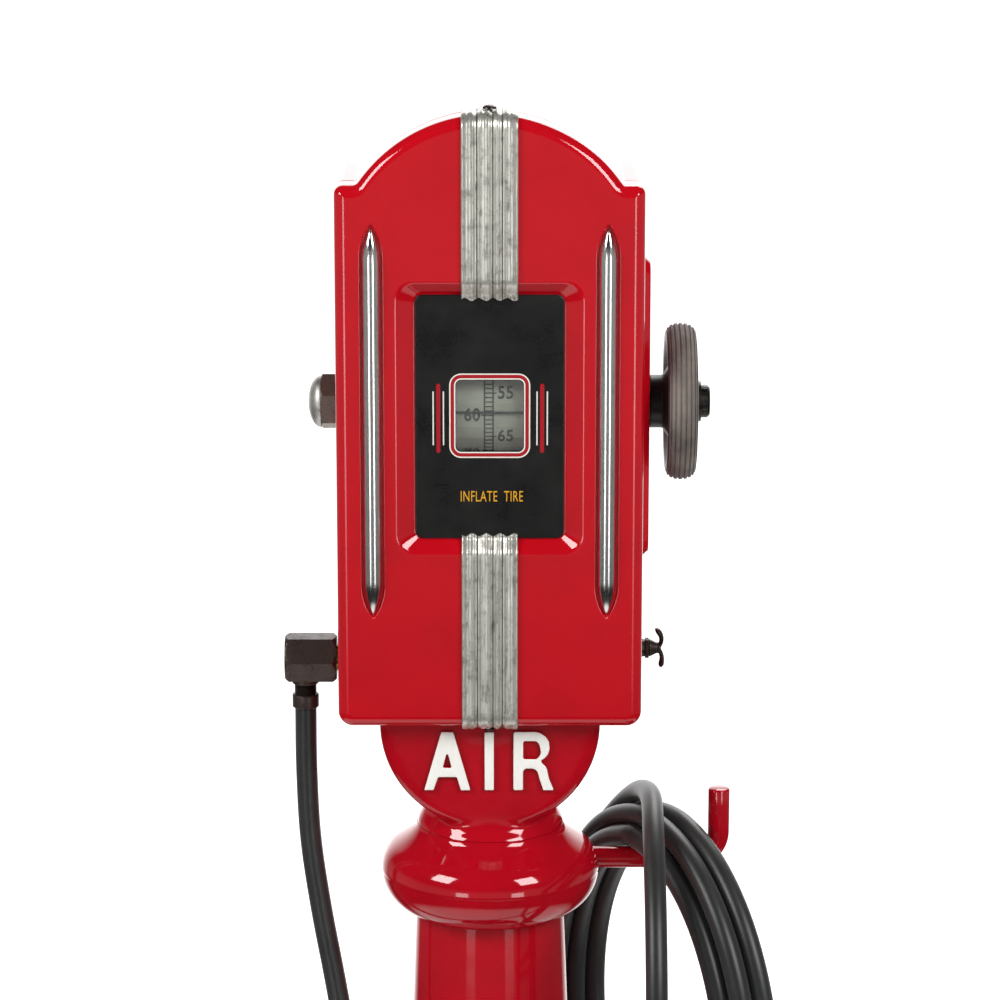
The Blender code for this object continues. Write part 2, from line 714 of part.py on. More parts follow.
def strap_path(end_z, plate_edge_z, recess_edge_z, face_end_z, way, top_length, sag):
    """Stations from the dial plate, over the recess wall and the face, and round the case's edge."""
    on_plate = PLATE_FRONT - GAP
    on_face = FRONT - GAP
    path = [(on_plate, end_z, -1, 0, 0), (on_plate, plate_edge_z + way * 0.0015, -1, 0, 0)]
    path.append(((on_plate + on_face) / 2, (plate_edge_z + recess_edge_z) / 2, -0.85, -0.5 * way, 0))
    path.append((on_face, recess_edge_z - way * 0.0006, -1, 0, 0))
    path.append((on_face, recess_edge_z + way * 0.006, -1, 0, 0))
    centre_y = FRONT + EDGE_R
    centre_z = face_end_z - way * EDGE_R
    for i in range(6):
        angle = radians(18 * i)
        ny = -cos(angle)
        nz = way * sin(angle)
        radius = EDGE_R + GAP
        path.append((centre_y + ny * radius, centre_z + nz * radius, ny, nz, sag))
    path.append((centre_y + top_length, face_end_z + way * GAP, 0, way, sag))
    return path


def build_straps():
    zinc = MATERIALS["cast_zinc"]
    top = CASE_Z + CASE_H
    upper = strap("strap_upper", strap_path(
        AXIS_Z + PLATE_HALF[1] - STRAP_OVER_PLATE, AXIS_Z + PLATE_HALF[1], AXIS_Z + RECESS_HALF[1],
        top, 1, STRAP_TOP_LENGTH, 1,
    ), zinc)
    lower = strap("strap_lower", strap_path(
        AXIS_Z - PLATE_HALF[1] + STRAP_OVER_PLATE, AXIS_Z - PLATE_HALF[1], AXIS_Z - RECESS_HALF[1],
        CASE_Z, -1, -FRONT - EDGE_R - HEAD_HALF_D - 0.001, 0,
    ), zinc)
    for name, target, y, face, way, head_r in (
        ("strap_top_screw", upper, FRONT + TOP_SCREW_Y, top + GAP + STRAP_T, 1, 0.0055),
        ("strap_bottom_screw", lower, FRONT + LOW_SCREW_Y, CASE_Z - GAP - STRAP_T, -1, 0.004),
    ):
        seat = GAP
        profile = [
            (0, -0.012), (TRIM_SCREW_R, -0.012), (TRIM_SCREW_R, seat), (head_r, seat),
            (head_r * 0.9, seat + 0.0014), (head_r * 0.6, seat + 0.0024), (0, seat + 0.0028),
        ]
        turned(name, [(r, way * h) for r, h in profile], MATERIALS["steel"], at=(0, y, face), steps=12)
        cut(target, cylinder(name + "_way", TRIM_SCREW_R + GAP, -0.01, 0.01, zinc, at=(0, y, face), steps=12))


def build_dial_front():
    window = rounded_rectangle(WINDOW_HALF, WINDOW_CORNER_R, (0, WINDOW_Z))
    black = MATERIALS["black_enamel"]
    plate_outline = rounded_rectangle(PLATE_HALF, PLATE_CORNER_R, (0, AXIS_Z))
    back = PLATE_FRONT + PLATE_T
    plate = lofted("dial_plate", [(PLATE_FRONT, plate_outline), (back, plate_outline)], black)
    cut(plate, lofted("plate_window", [(PLATE_FRONT - 0.01, window), (back + 0.01, window)], black))
    half = (WINDOW_HALF[0] + GLASS_LIP, WINDOW_HALF[1] + GLASS_LIP)
    pane = rounded_rectangle(half, 0.0057, (0, WINDOW_Z))
    lofted("window_glass", [(RECESS_FLOOR, pane), (RECESS_FLOOR + GLASS_T, pane)], MATERIALS["glass"])
    reach = half[0] + 0.006
    y = RECESS_FLOOR + PAN_WALL + GAP + INDEX_R
    cylinder("index_wire", INDEX_R, -reach, reach, black, "X", (0, y, AXIS_Z + INDEX_RISE), 8)


def build_setting_wheel():
    at = (0, 0, AXIS_Z)
    steel = MATERIALS["steel"]
    bore = SHAFT_R + GAP
    hub_in = PAD_X + 2 * GAP
    edge = 0.0025
    turned("handwheel", [
        (bore, hub_in), (HUB_R, hub_in), (HUB_R, TYRE_IN - 0.004), (HUB_R + 0.005, TYRE_IN + 0.001),
        (WHEEL_R - 0.020, TYRE_IN + 0.006), (WHEEL_R - 0.008, TYRE_IN + 0.003), (WHEEL_R - 0.005, TYRE_IN),
        (WHEEL_R - edge, TYRE_IN), (WHEEL_R, TYRE_IN + edge), (WHEEL_R, TYRE_OUT - edge), (WHEEL_R - edge, TYRE_OUT),
        (WHEEL_R - 0.010, TYRE_OUT), (WHEEL_R - 0.022, TYRE_OUT - 0.004), (HUB_R, TYRE_OUT),
        (WASHER_R, WHEEL_FACE), (bore, WHEEL_FACE),
    ], MATERIALS["grip_rubber"], "X", at, 32)
    washer = WHEEL_FACE + GAP
    turned("wheel_washer", [
        (bore, washer), (WASHER_R, washer), (WASHER_R, washer + WASHER_T), (bore, washer + WASHER_T),
    ], steel, "X", at, 24)
    nut = washer + WASHER_T + GAP
    end = nut + CAP_NUT_H
    turned("wheel_cap_nut", [
        (bore, nut), (CAP_NUT_R, nut), (CAP_NUT_R, end - 0.002), (CAP_NUT_R - 0.002, end), (0, end),
        (0, end - 0.0015), (bore, end - 0.0015),
    ], steel, "X", at, 24)
    cylinder("control_shaft", SHAFT_R, SHAFT_LEFT, end - 0.0015 - GAP, steel, "X", at, SMALL_STEPS)
    wall_in = SIDE - WALL - GAP
    turned("shaft_bushing", [
        (bore, wall_in - 0.006), (0.016, wall_in - 0.006), (0.016, wall_in), (BUSH_R, wall_in),
        (BUSH_R, PAD_X + GAP), (bore, PAD_X + GAP),
    ], MATERIALS["brass"], "X", at, STEPS)
    turned("dial_drum", [
        (bore, -0.014), (0.013, -0.014), (0.013, -0.001), (DRUM_R - 0.0015, -0.001), (DRUM_R - 0.0015, -DRUM_HALF_W),
        (DRUM_R, -DRUM_HALF_W), (DRUM_R, DRUM_HALF_W), (DRUM_R - 0.0015, DRUM_HALF_W), (DRUM_R - 0.0015, 0.001),
        (0.013, 0.001), (0.013, 0.014), (bore, 0.014),
    ], MATERIALS["drum_paint"], "X", at, 36)

    arm_y = -0.014
    inner = BRACKET_HALF_W - BRACKET_T
    web = INNER_BACK - BRACKET_T
    outline = [
        (-BRACKET_HALF_W, INNER_BACK), (BRACKET_HALF_W, INNER_BACK), (BRACKET_HALF_W, arm_y), (inner, arm_y),
        (inner, web), (-inner, web), (-inner, arm_y), (-BRACKET_HALF_W, arm_y),
    ]
    bm = bmesh.new()
    bridge(bm, [[(x, y, side * BRACKET_HALF_H) for x, y in outline] for side in (-1, 1)])
    bracket = make_object("drum_bracket", bm, steel, at)
    cut(bracket, cylinder("bracket_bore", bore, -0.06, 0.06, steel, "X", at, SMALL_STEPS))
    cut(bracket, cylinder("bracket_tap", 0.0025 + GAP, 0.04, 0.08, steel, "Y", at, 12))
    cheese_screw("bracket_screw", (0, BACK, AXIS_Z), 0.003, BACK - web + 0.001, 0.006, 0.0025)


def build_regulator():
    at = (0, 0, AXIS_Z)
    brass = MATERIALS["brass"]
    steel = MATERIALS["steel"]
    bonnet_low = DIAPHRAGM_X + GAP
    cup_end = bonnet_low + FLANGE_T - 0.001
    bonnet = turned("regulator_bonnet", [
        (BONNET_BORE_R, BONNET_END), (BONNET_R, BONNET_END), (BONNET_R, bonnet_low + FLANGE_T),
        (BONNET_THREAD_R, bonnet_low + FLANGE_T), (BONNET_THREAD_R, bonnet_low), (BONNET_BORE_R, bonnet_low),
    ], brass, "X", at)
    cut(bonnet, block("key_slot", (-0.070, -0.0024, 0.018), (BONNET_END + 0.01, 0.0024, 0.0245), brass, at=at))
    cylinder(
        "diaphragm", BONNET_THREAD_R, DIAPHRAGM_X - DIAPHRAGM_T, DIAPHRAGM_X, MATERIALS["rubber"], "X", at,
    )
    body = turned("regulator_body", [
        (CHAMBER_R, BODY_FACE), (BONNET_THREAD_R + GAP, BODY_FACE), (BONNET_THREAD_R + GAP, cup_end),
        (FLANGE_R, cup_end), (FLANGE_R, BODY_FACE - FLANGE_T), (BONNET_R, BODY_FACE - FLANGE_T),
        (BONNET_R, BODY_END), (NOSE_R, BODY_END), (NOSE_R, NOSE_END), (INLET_CHAMBER_R, NOSE_END),
        (INLET_CHAMBER_R, SEAT_X - SEAT_T), (SEAT_R, SEAT_X - SEAT_T), (SEAT_R, SEAT_X), (CHAMBER_R, SEAT_X),
    ], brass, "X", at)
    cut(
        body,
        cylinder("outlet_port", 0.003, -0.03, -0.01, brass, at=(OUTLET_TUBE_X, 0, AXIS_Z), steps=12),
        cylinder("inlet_port", 0.0025, 0.005, 0.03, brass, "Y", (INLET_X, 0, AXIS_Z), 12),
    )

    bore = NOSE_R + GAP
    hex_end = ACORN_FACE - ACORN_HEX_L
    acorn = turned("acorn_nut", [
        (0, hex_end), (ACORN_HEX_R * 0.92, hex_end), (ACORN_HEX_R, hex_end + 0.0015), (ACORN_HEX_R, ACORN_FACE - 0.0015),
        (ACORN_HEX_R * 0.92, ACORN_FACE), (0, ACORN_FACE),
    ], steel, "X", at, 6)
    dome = [(ACORN_DOME_R * sin(radians(a)), hex_end - ACORN_DOME_L * cos(radians(a))) for a in range(0, 91, 18)]
    join(acorn, turned("acorn_dome", dome + [(ACORN_DOME_R, hex_end + 0.001), (0, hex_end + 0.001)], steel, "X", at, 24))
    cut(acorn, cylinder("acorn_bore", bore, ACORN_FLOOR, ACORN_FACE + 0.01, steel, "X", at))

    turned("spring_plate", [
        (0, PLATE_X), (CHAMBER_R - 0.002, PLATE_X), (CHAMBER_R - 0.002, PLATE_X + SPRING_PLATE_T), (0, PLATE_X + SPRING_PLATE_T),
    ], brass, "X", at)
    follower_low = FOLLOWER_X - FOLLOWER_T
    follower = turned("spring_follower", [
        (SHAFT_R + GAP, follower_low), (BONNET_BORE_R - 0.0008, follower_low), (BONNET_BORE_R - 0.0008, FOLLOWER_X),
        (SHAFT_R + GAP, FOLLOWER_X),
    ], brass, "X", at)
    join(follower, block("follower_key", (follower_low, -0.002, 0.0195), (FOLLOWER_X, 0.002, 0.024), brass, at=at))
    spring_low = PLATE_X + SPRING_PLATE_T + GAP + SPRING_WIRE_R
    spring_high = follower_low - GAP - SPRING_WIRE_R
    rod("setting_spring", helix(SPRING_R, spring_low, spring_high, SPRING_TURNS), SPRING_WIRE_R, steel, 1, at)

    stem_end = DIAPHRAGM_X - DIAPHRAGM_T - GAP
    seat = SEAT_X - SEAT_T - GAP
    turned("valve_poppet", [
        (0, stem_end), (0.0025, stem_end), (0.0025, seat), (POPPET_R, seat), (POPPET_R, seat - 0.0035),
        (0, seat - 0.0035),
    ], brass, "X", at, SMALL_STEPS)
    wire = 0.0007
    low = ACORN_FLOOR + GAP + wire
    high = seat - 0.0035 - GAP - wire
    rod("valve_spring", helix(0.006, low, high, 4), wire, steel, 0, at)


def build_air_way():
    steel = MATERIALS["steel"]
    brass = MATERIALS["brass"]
    bronze = MATERIALS["dark_bronze"]
    union_low = CASE_Z + 0.023 + GAP
    union_high = union_low + 0.022
    cylinder("inlet_union", 0.017, union_low, union_high, brass, steps=6)
    rear_y = BONNET_R + GAP
    rod("inlet_tube", smooth_route([
        (0, 0, union_high + GAP), (0, 0, union_high + 0.008), (0, 0, union_high + 0.020), (-0.018, 0.012, CASE_Z + 0.095),
        (-0.065, 0.036, CASE_Z + 0.130), (INLET_X + 0.004, 0.046, CASE_Z + 0.175), (INLET_X, 0.050, AXIS_Z - 0.030),
        (INLET_X, 0.046, AXIS_Z - 0.008), (INLET_X, 0.036, AXIS_Z), (INLET_X, rear_y, AXIS_Z),
    ], 0.014), INLET_TUBE_R, brass)
    bend_r = 0.0085
    bend = arc((OUTLET_TUBE_X - bend_r, OUTLET_Z + bend_r), bend_r, 0, -90, 4)
    path = [(OUTLET_TUBE_X, AXIS_Z - BONNET_R - GAP)] + bend
    rod("outlet_tube", [(x, 0, z) for x, z in path], OUTLET_TUBE_R, brass)
    nipple_in = OUTLET_TUBE_X - bend_r - GAP
    nipple_out = STEM_X + 0.0095
    turned("outlet_nipple", [
        (0.006, nipple_in), (NIPPLE_R, nipple_in), (NIPPLE_R, nipple_out), (0.006, nipple_out),
    ], steel, "X", (0, 0, OUTLET_Z), 24)
    locknut = cylinder(
        "outlet_locknut", 0.018, BODY_END, BODY_END + 0.006, steel, "X", (0, 0, OUTLET_Z), 6, 30,
    )
    cut(locknut, cylinder("locknut_bore", NIPPLE_R + GAP, -0.2, 0, steel, "X", (0, 0, OUTLET_Z), 24))

    outer_r = ELBOW_AF / 2 / cos(pi / 6)
    right = -SIDE - ELBOW_GAP
    chamfer = 0.0025
    elbow = turned("hose_elbow", [
        (0, ELBOW_LEFT), (outer_r - chamfer, ELBOW_LEFT), (outer_r, ELBOW_LEFT + chamfer), (outer_r, right - chamfer),
        (outer_r - chamfer, right), (0, right),
    ], bronze, "X", (0, 0, OUTLET_Z), 6, 30)
    cut(
        elbow,
        cylinder("elbow_bore", NIPPLE_R + GAP, nipple_out - 0.001, 0, bronze, "X", (0, 0, OUTLET_Z), 24),
        cylinder("elbow_drop", STEM_NECK_R + GAP, -0.05, 0, bronze, at=(STEM_X, 0, OUTLET_Z), steps=24),
    )
    collar_top = CASE_Z + COLLAR_TOP
    turned("hose_adapter", [
        (0, collar_top - COLLAR_H), (COLLAR_R, collar_top - COLLAR_H), (COLLAR_R, collar_top),
        (STEM_NECK_R, collar_top), (STEM_NECK_R, OUTLET_Z - NIPPLE_R - 0.001), (0, OUTLET_Z - NIPPLE_R - 0.001),
    ], bronze, at=(STEM_X, 0, 0), steps=24)


def build_cock():
    bronze = MATERIALS["dark_bronze"]
    at = (SIDE, 0, COCK_Z)
    turned("cock_body", [
        (0, -0.016), (COCK_SHANK_R, -0.016), (COCK_SHANK_R, GAP), (0.008, GAP), (0.007, 0.0045),
        (COCK_FLANGE_R, 0.005), (COCK_FLANGE_R, 0.0077), (0, 0.0077),
    ], bronze, "X", at, SMALL_STEPS)
    stem_r = 0.00525
    face = 0.0077 + GAP
    wing = turned("cock_wing", [
        (0, face), (stem_r, face), (stem_r, WING_REACH - 0.001), (stem_r - 0.001, WING_REACH), (0, WING_REACH),
    ], bronze, "X", at, SMALL_STEPS)
    for side in (-1, 1):
        path = [
            (face + 0.0040, side * 0.003), (face + 0.0035, side * 0.009), (face + 0.0050, side * 0.0125),
            (face + 0.0080, side * WING_HALF_H),
        ]
        join(wing, bent_bar(f"wing_lobe_{side}", path, 0.0024, bronze, at))


def build_bell():
    steel = MATERIALS["steel"]
    brass = MATERIALS["brass"]
    at = (0, 0, BELL_Z)
    rim = BELL_FRONT + BELL_DEPTH
    hole = 0.0043
    turned("bell_gong", [
        (hole, BELL_FRONT), (BELL_R * 0.55, BELL_FRONT + 0.001), (BELL_R * 0.88, BELL_FRONT + 0.008), (BELL_R, rim),
        (BELL_R - BELL_T, rim), (BELL_R * 0.88 - BELL_T, BELL_FRONT + 0.009),
        (BELL_R * 0.55 - 0.001, BELL_FRONT + 0.001 + BELL_T), (hole, BELL_FRONT + BELL_T),
    ], brass, "Y", at)
    shoulder = BELL_FRONT + BELL_T + 2 * GAP
    turned("bell_post", [
        (0, BELL_FRONT - 0.004), (0.006, BELL_FRONT - 0.003), (0.0075, BELL_FRONT - GAP), (0.004, BELL_FRONT - GAP),
        (0.004, shoulder), (0.008, shoulder), (0.008, INNER_BACK), (0, INNER_BACK),
    ], steel, "Y", at, SMALL_STEPS)

    pivot = (HAMMER_X, HAMMER_Y, BELL_Z + HAMMER_RISE)
    half = 0.003
    back = INNER_BACK - HAMMER_Y
    turned("hammer_pivot", [
        (0, -half - 0.0033), (0.004, -half - 0.0033), (0.004, -half - GAP), (0.002, -half - GAP), (0.002, half + GAP),
        (0.006, half + GAP), (0.006, back), (0, back),
    ], steel, "Y", pivot, 12)
    hammer = cylinder("bell_hammer", 0.0055, -half, half, steel, "Y", pivot, SMALL_STEPS)
    ball = arc((0, -HAMMER_RISE), HAMMER_BALL_R, -90, 70, 6)
    neck = 0.0016
    top = (neck, -0.004)
    profile = [(max(r, 0), z) for r, z in ball[:-1]] + [(neck, -HAMMER_RISE + HAMMER_BALL_R), top, (0, -0.004)]
    join(hammer, turned("hammer_arm", profile, steel, at=pivot, steps=12))
    cut(hammer, cylinder("hammer_eye", 0.0023, -0.01, 0.01, steel, "Y", pivot, 12))


def build_hose():
    rubber = MATERIALS["rubber"]
    rod("hose_tube", smooth_route(HOSE_ROUTE, 0.026), HOSE_R, rubber, 2)

    # The coil hangs over the hook as one elongated ring with blunt corners.
    frame = Matrix.Translation(COIL_CENTRE) @ Matrix.Rotation(radians(COIL_TURN), 4, "Z")
    section = ((-1, 0.3), (-0.6, 0), (0.6, 0), (1, 0.3), (1, 0.7), (0.6, 1), (-0.6, 1), (-1, 0.7))
    rings = []
    for i in range(32):
        angle = tau * i / 32
        ring = []
        for across, out in section:
            wide = COIL_INNER[0] + (COIL_OUTER[0] - COIL_INNER[0]) * out
            high = COIL_INNER[1] + (COIL_OUTER[1] - COIL_INNER[1]) * out
            ring.append(frame @ Vector((across * COIL_HALF_W, wide * cos(angle), high * sin(angle))))
        rings.append(ring)
    bm = bmesh.new()
    bridge(bm, rings, closed=True)
    make_object("hose_coil", bm, rubber)

    x, y, z = TAIL_TOP
    end = z - TAIL_LENGTH
    rod("hose_tail", smooth_route([
        (x, y, z), (x - 0.002, y + 0.002, z - TAIL_LENGTH / 2), (x - 0.002, y + 0.003, end),
    ], 0.022), HOSE_R, rubber, 3)
    at = (x - 0.002, y + 0.003, end - GAP)
    chuck = turned("air_chuck", [
        (0, 0), (0.0095, 0), (0.0095, -0.010), (CHUCK_R, -0.012), (CHUCK_R, -0.030), (0.0085, -0.034),
        (0.0085, -0.046), (CHUCK_HEAD_R, -0.049), (CHUCK_HEAD_R, -CHUCK_L), (0, -CHUCK_L),
    ], MATERIALS["brass"], at=at, steps=24)
    guide_top = -CHUCK_L + 0.024
    cut(
        chuck,
        cylinder("chuck_mouth", 0.0045, -CHUCK_L - 0.01, -CHUCK_L + 0.012, rubber, at=at, steps=SMALL_STEPS),
        cylinder("pin_guide", PIN_R + GAP, -CHUCK_L + 0.010, guide_top, rubber, at=at, steps=SMALL_STEPS),
    )
    pin_top = guide_top - PIN_TRAVEL - GAP
    cylinder("chuck_pin", PIN_R, -CHUCK_L + 0.001, pin_top, MATERIALS["steel"], at=at, steps=SMALL_STEPS)


def build_tie():
    """A cord round the front strands of the coil, in a level plane."""
    drop = TIE_Z - COIL_CENTRE[2]
    inner = COIL_INNER[0] * cos(asin(drop / COIL_INNER[1]))
    outer = COIL_OUTER[0] * cos(asin(drop / COIL_OUTER[1]))
    clear = TIE_R + 0.0006
    middle = (inner + outer) / 2
    half = (COIL_HALF_W + clear, (outer - inner) / 2 + clear)
    frame = Matrix.Translation((COIL_CENTRE[0], COIL_CENTRE[1], TIE_Z))
    frame = frame @ Matrix.Rotation(radians(COIL_TURN), 4, "Z")
    loop = rounded_rectangle(half, 0.012, (0, -middle), 4)
    bm = bmesh.new()
    rings = []
    for i, point in enumerate(loop):
        before = Vector(loop[i - 1])
        after = Vector(loop[(i + 1) % len(loop)])
        along = (after - before).normalized()
        out = Vector((along.y, -along.x))
        ring = []
        for k in range(8):
            angle = tau * k / 8
            side = Vector(point) + out * (TIE_R * cos(angle))
            ring.append(frame @ Vector((side.x, side.y, TIE_R * sin(angle))))
        rings.append(ring)
    bridge(bm, rings, closed=True)
    make_object("hose_tie", bm, MATERIALS["cord"])


clear_scene()
build_pedestal()
build_sign_head()
build_case()
build_front_cover()
build_spears()
build_straps()
build_dial_front()
build_setting_wheel()
build_regulator()
build_air_way()
build_cock()
build_bell()
build_hose()
build_tie()
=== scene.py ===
"""A pedestal air meter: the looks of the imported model, piece by piece, in the order it is put together."""
import json
from math import atan2, cos, degrees, pi, radians, sin, sqrt, tan, tau

import bmesh
import bpy
import numpy as np
from mathutils import Matrix, Vector, noise

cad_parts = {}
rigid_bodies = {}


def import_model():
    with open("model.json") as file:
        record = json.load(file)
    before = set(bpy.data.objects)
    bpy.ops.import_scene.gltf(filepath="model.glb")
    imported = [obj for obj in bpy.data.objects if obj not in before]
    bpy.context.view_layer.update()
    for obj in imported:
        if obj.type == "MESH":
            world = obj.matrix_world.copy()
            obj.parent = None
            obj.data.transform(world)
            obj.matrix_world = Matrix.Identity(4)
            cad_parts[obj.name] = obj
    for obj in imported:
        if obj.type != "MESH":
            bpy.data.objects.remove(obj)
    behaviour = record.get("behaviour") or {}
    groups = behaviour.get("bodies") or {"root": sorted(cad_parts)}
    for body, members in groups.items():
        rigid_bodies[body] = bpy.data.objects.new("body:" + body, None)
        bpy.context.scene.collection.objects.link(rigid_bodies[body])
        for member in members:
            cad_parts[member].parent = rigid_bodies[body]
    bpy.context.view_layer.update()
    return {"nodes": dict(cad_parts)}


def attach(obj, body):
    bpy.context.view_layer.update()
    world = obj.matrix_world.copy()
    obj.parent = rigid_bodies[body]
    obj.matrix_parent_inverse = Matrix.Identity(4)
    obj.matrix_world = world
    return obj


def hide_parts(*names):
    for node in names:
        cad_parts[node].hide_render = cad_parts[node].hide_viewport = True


for thing in list(bpy.data.objects):
    bpy.data.objects.remove(thing)
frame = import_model()


# ---------------------------------------------------------------- the room
# A plain pale studio: one seamless floor, two softboxes before the object and one behind it. Polished
# parts mirror white behind and under them and dark before them, as in a room hung with black cloth,
# broken by two strip lights that stand either side of the camera.


def linear(code):
    """The linear colour of an sRGB hex value."""
    parts = [int(code[i:i + 2], 16) / 255 for i in (1, 3, 5)]
    return tuple(p / 12.92 if p <= 0.04045 else ((p + 0.055) / 1.055) ** 2.4 for p in parts) + (1.0,)


def add(tree, kind, inputs=None, stops=None, **settings):
    """Adds a shader node. inputs gives a socket its value, or the output that feeds it; stops are a
    ramp's places and its colours, or its grey levels."""
    made = tree.nodes.new("ShaderNode" + kind)
    for key, value in settings.items():
        setattr(made, key, value)
    for key, value in (inputs or {}).items():
        if isinstance(value, bpy.types.NodeSocket):
            tree.links.new(value, made.inputs[key])
        else:
            made.inputs[key].default_value = value
    if stops:
        elements = made.color_ramp.elements
        while len(elements) < len(stops):
            elements.new(0.5)
        for element, (at, colour) in zip(elements, stops):
            element.position = at
            element.color = linear(colour) if isinstance(colour, str) else (colour, colour, colour, 1)
    return made


def bare_material(name):
    """A material with an empty tree."""
    made = bpy.data.materials.new(name)
    made.use_nodes = True
    made.node_tree.nodes.clear()
    return made, made.node_tree


def link_object(name, data):
    """A new object in the scene."""
    made = bpy.data.objects.new(name, data)
    bpy.context.collection.objects.link(made)
    return made


lens = bpy.data.cameras.new("lens")
lens.sensor_width = 36.0
lens.lens = 138.5
camera = link_object("camera", lens)
camera.location = (0.008, -2.9895, 1.750)
camera.rotation_euler = (radians(76.7), 0, 0)
scene = bpy.context.scene
scene.camera = camera
scene.view_settings.view_transform = "Standard"

FLOOR_HALF = 30
FLOOR_GLOW = (0.10, 1.0)          # near the object, where its shadow falls, and far off
GLOW_REACH = (0.45, 1.6)          # how far off it starts to rise, and is full
# Matt white floor paint: even and without gloss, so that it shows only the object's soft shadow.
paint, tree = bare_material("studio_floor_paint")
path = add(tree, "LightPath")
direct = add(tree, "Math", {0: path.outputs["Is Camera Ray"], 1: path.outputs["Is Transmission Ray"]},
             operation="MAXIMUM")
spot = add(tree, "TexCoord")
far_off = add(tree, "VectorMath", {0: spot.outputs["Object"]}, operation="LENGTH")
level = add(tree, "MapRange", {
    0: far_off.outputs["Value"], 1: GLOW_REACH[0], 2: GLOW_REACH[1], 3: FLOOR_GLOW[0], 4: FLOOR_GLOW[1],
})
glow = add(tree, "Math", {0: direct.outputs[0], 1: level.outputs[0]}, operation="MULTIPLY")
white = add(tree, "BsdfDiffuse", {"Color": linear("#EFEFEC")})
lift = add(tree, "Emission", {"Color": (1, 1, 1, 1), "Strength": glow.outputs[0]})
both = add(tree, "AddShader", {0: white.outputs[0], 1: lift.outputs[0]})
add(tree, "OutputMaterial", {"Surface": both.outputs[0]})
bm = bmesh.new()
bmesh.ops.create_grid(bm, x_segments=2, y_segments=2, size=FLOOR_HALF)
floor_mesh = bpy.data.meshes.new("studio_floor")
bm.to_mesh(floor_mesh)
bm.free()
floor = link_object("studio_floor", floor_mesh)
floor_mesh.materials.append(paint)
floor.visible_glossy = False

AMBIENT = 0.34                    # the light that dull surfaces get from all round
# What shiny parts mirror, by how high it is (a direction's Z, from -1 to 1): lit floor straight down,
# dark floor further off, a grey band of room near the horizon, black above.
BY_HEIGHT = [
    (-1.0, 1.0), (-0.76, 1.0), (-0.66, 0.02), (-0.34, 0.02), (-0.20, 0.30), (0.04, 0.25),
    (0.20, 0.02), (1.0, 0.02),
]
BACKDROP = (0.70, 0.92, 2.1)      # where the lit backdrop starts and is full (a direction's Y), and its level
STRIPS = (0.36, 0.58, 5.0)        # two strip lights: their direction's X either side, and their level
STRIP_SOFT = 0.02                 # how softly their long sides end
STRIP_FOOT = (-0.29, -0.19)       # where they start and are full, going up (a direction's Z)
STRIP_HEAD = (0.02, -0.02)        # and where they end
world = bpy.data.worlds.new("studio_air")
scene.world = world
world.use_nodes = True
tree = world.node_tree
tree.nodes.clear()
path = add(tree, "LightPath")
way = add(tree, "TexCoord")
parts = add(tree, "SeparateXYZ", {0: way.outputs["Generated"]})
behind = add(tree, "MapRange", {0: parts.outputs["Y"], 1: BACKDROP[0], 2: BACKDROP[1], 4: BACKDROP[2]})
tall = add(tree, "MapRange", {0: parts.outputs["Z"], 1: -1.0, 2: 1.0})
room = add(tree, "ValToRGB", {0: tall.outputs[0]}, [((z + 1) / 2, level) for z, level in BY_HEIGHT])
aside = add(tree, "Math", {0: parts.outputs["X"]}, operation="ABSOLUTE")
strip_in = add(tree, "MapRange", {0: aside.outputs[0], 1: STRIPS[0], 2: STRIPS[0] + STRIP_SOFT})
strip_out = add(tree, "MapRange", {0: aside.outputs[0], 1: STRIPS[1], 2: STRIPS[1] - STRIP_SOFT})
strip = add(tree, "Math", {0: strip_in.outputs[0], 1: strip_out.outputs[0]}, operation="MULTIPLY")
before = add(tree, "MapRange", {0: parts.outputs["Y"], 1: 0.0, 2: -0.1, 4: STRIPS[2]})
strip_foot = add(tree, "MapRange", {0: parts.outputs["Z"], 1: STRIP_FOOT[0], 2: STRIP_FOOT[1]})
strip_head = add(tree, "MapRange", {0: parts.outputs["Z"], 1: STRIP_HEAD[0], 2: STRIP_HEAD[1]})
upright = add(tree, "Math", {0: strip_foot.outputs[0], 1: strip_head.outputs[0]}, operation="MULTIPLY")
ahead = add(tree, "Math", {0: strip.outputs[0], 1: before.outputs[0]}, operation="MULTIPLY")
strips = add(tree, "Math", {0: ahead.outputs[0], 1: upright.outputs[0]}, operation="MULTIPLY")
bright = add(tree, "Math", {0: behind.outputs[0], 1: room.outputs[0]}, operation="MAXIMUM")
lit = add(tree, "Math", {0: bright.outputs[0], 1: strips.outputs[0]}, operation="MAXIMUM")
shiny = add(tree, "Math", {0: path.outputs["Is Glossy Ray"], 1: lit.outputs[0]}, operation="MULTIPLY")
direct = add(tree, "Math", {0: path.outputs["Is Camera Ray"], 1: path.outputs["Is Transmission Ray"]},
             operation="MAXIMUM")
seen = add(tree, "Math", {0: shiny.outputs[0], 1: direct.outputs[0]}, operation="MAXIMUM")
dull = add(tree, "Math", {0: path.outputs["Is Diffuse Ray"], 1: AMBIENT}, operation="MULTIPLY")
total = add(tree, "Math", {0: seen.outputs[0], 1: dull.outputs[0]}, operation="MAXIMUM")
air = add(tree, "Background", {"Color": (1, 1, 1, 1), "Strength": total.outputs[0]})
add(tree, "OutputWorld", {"Surface": air.outputs[0]})

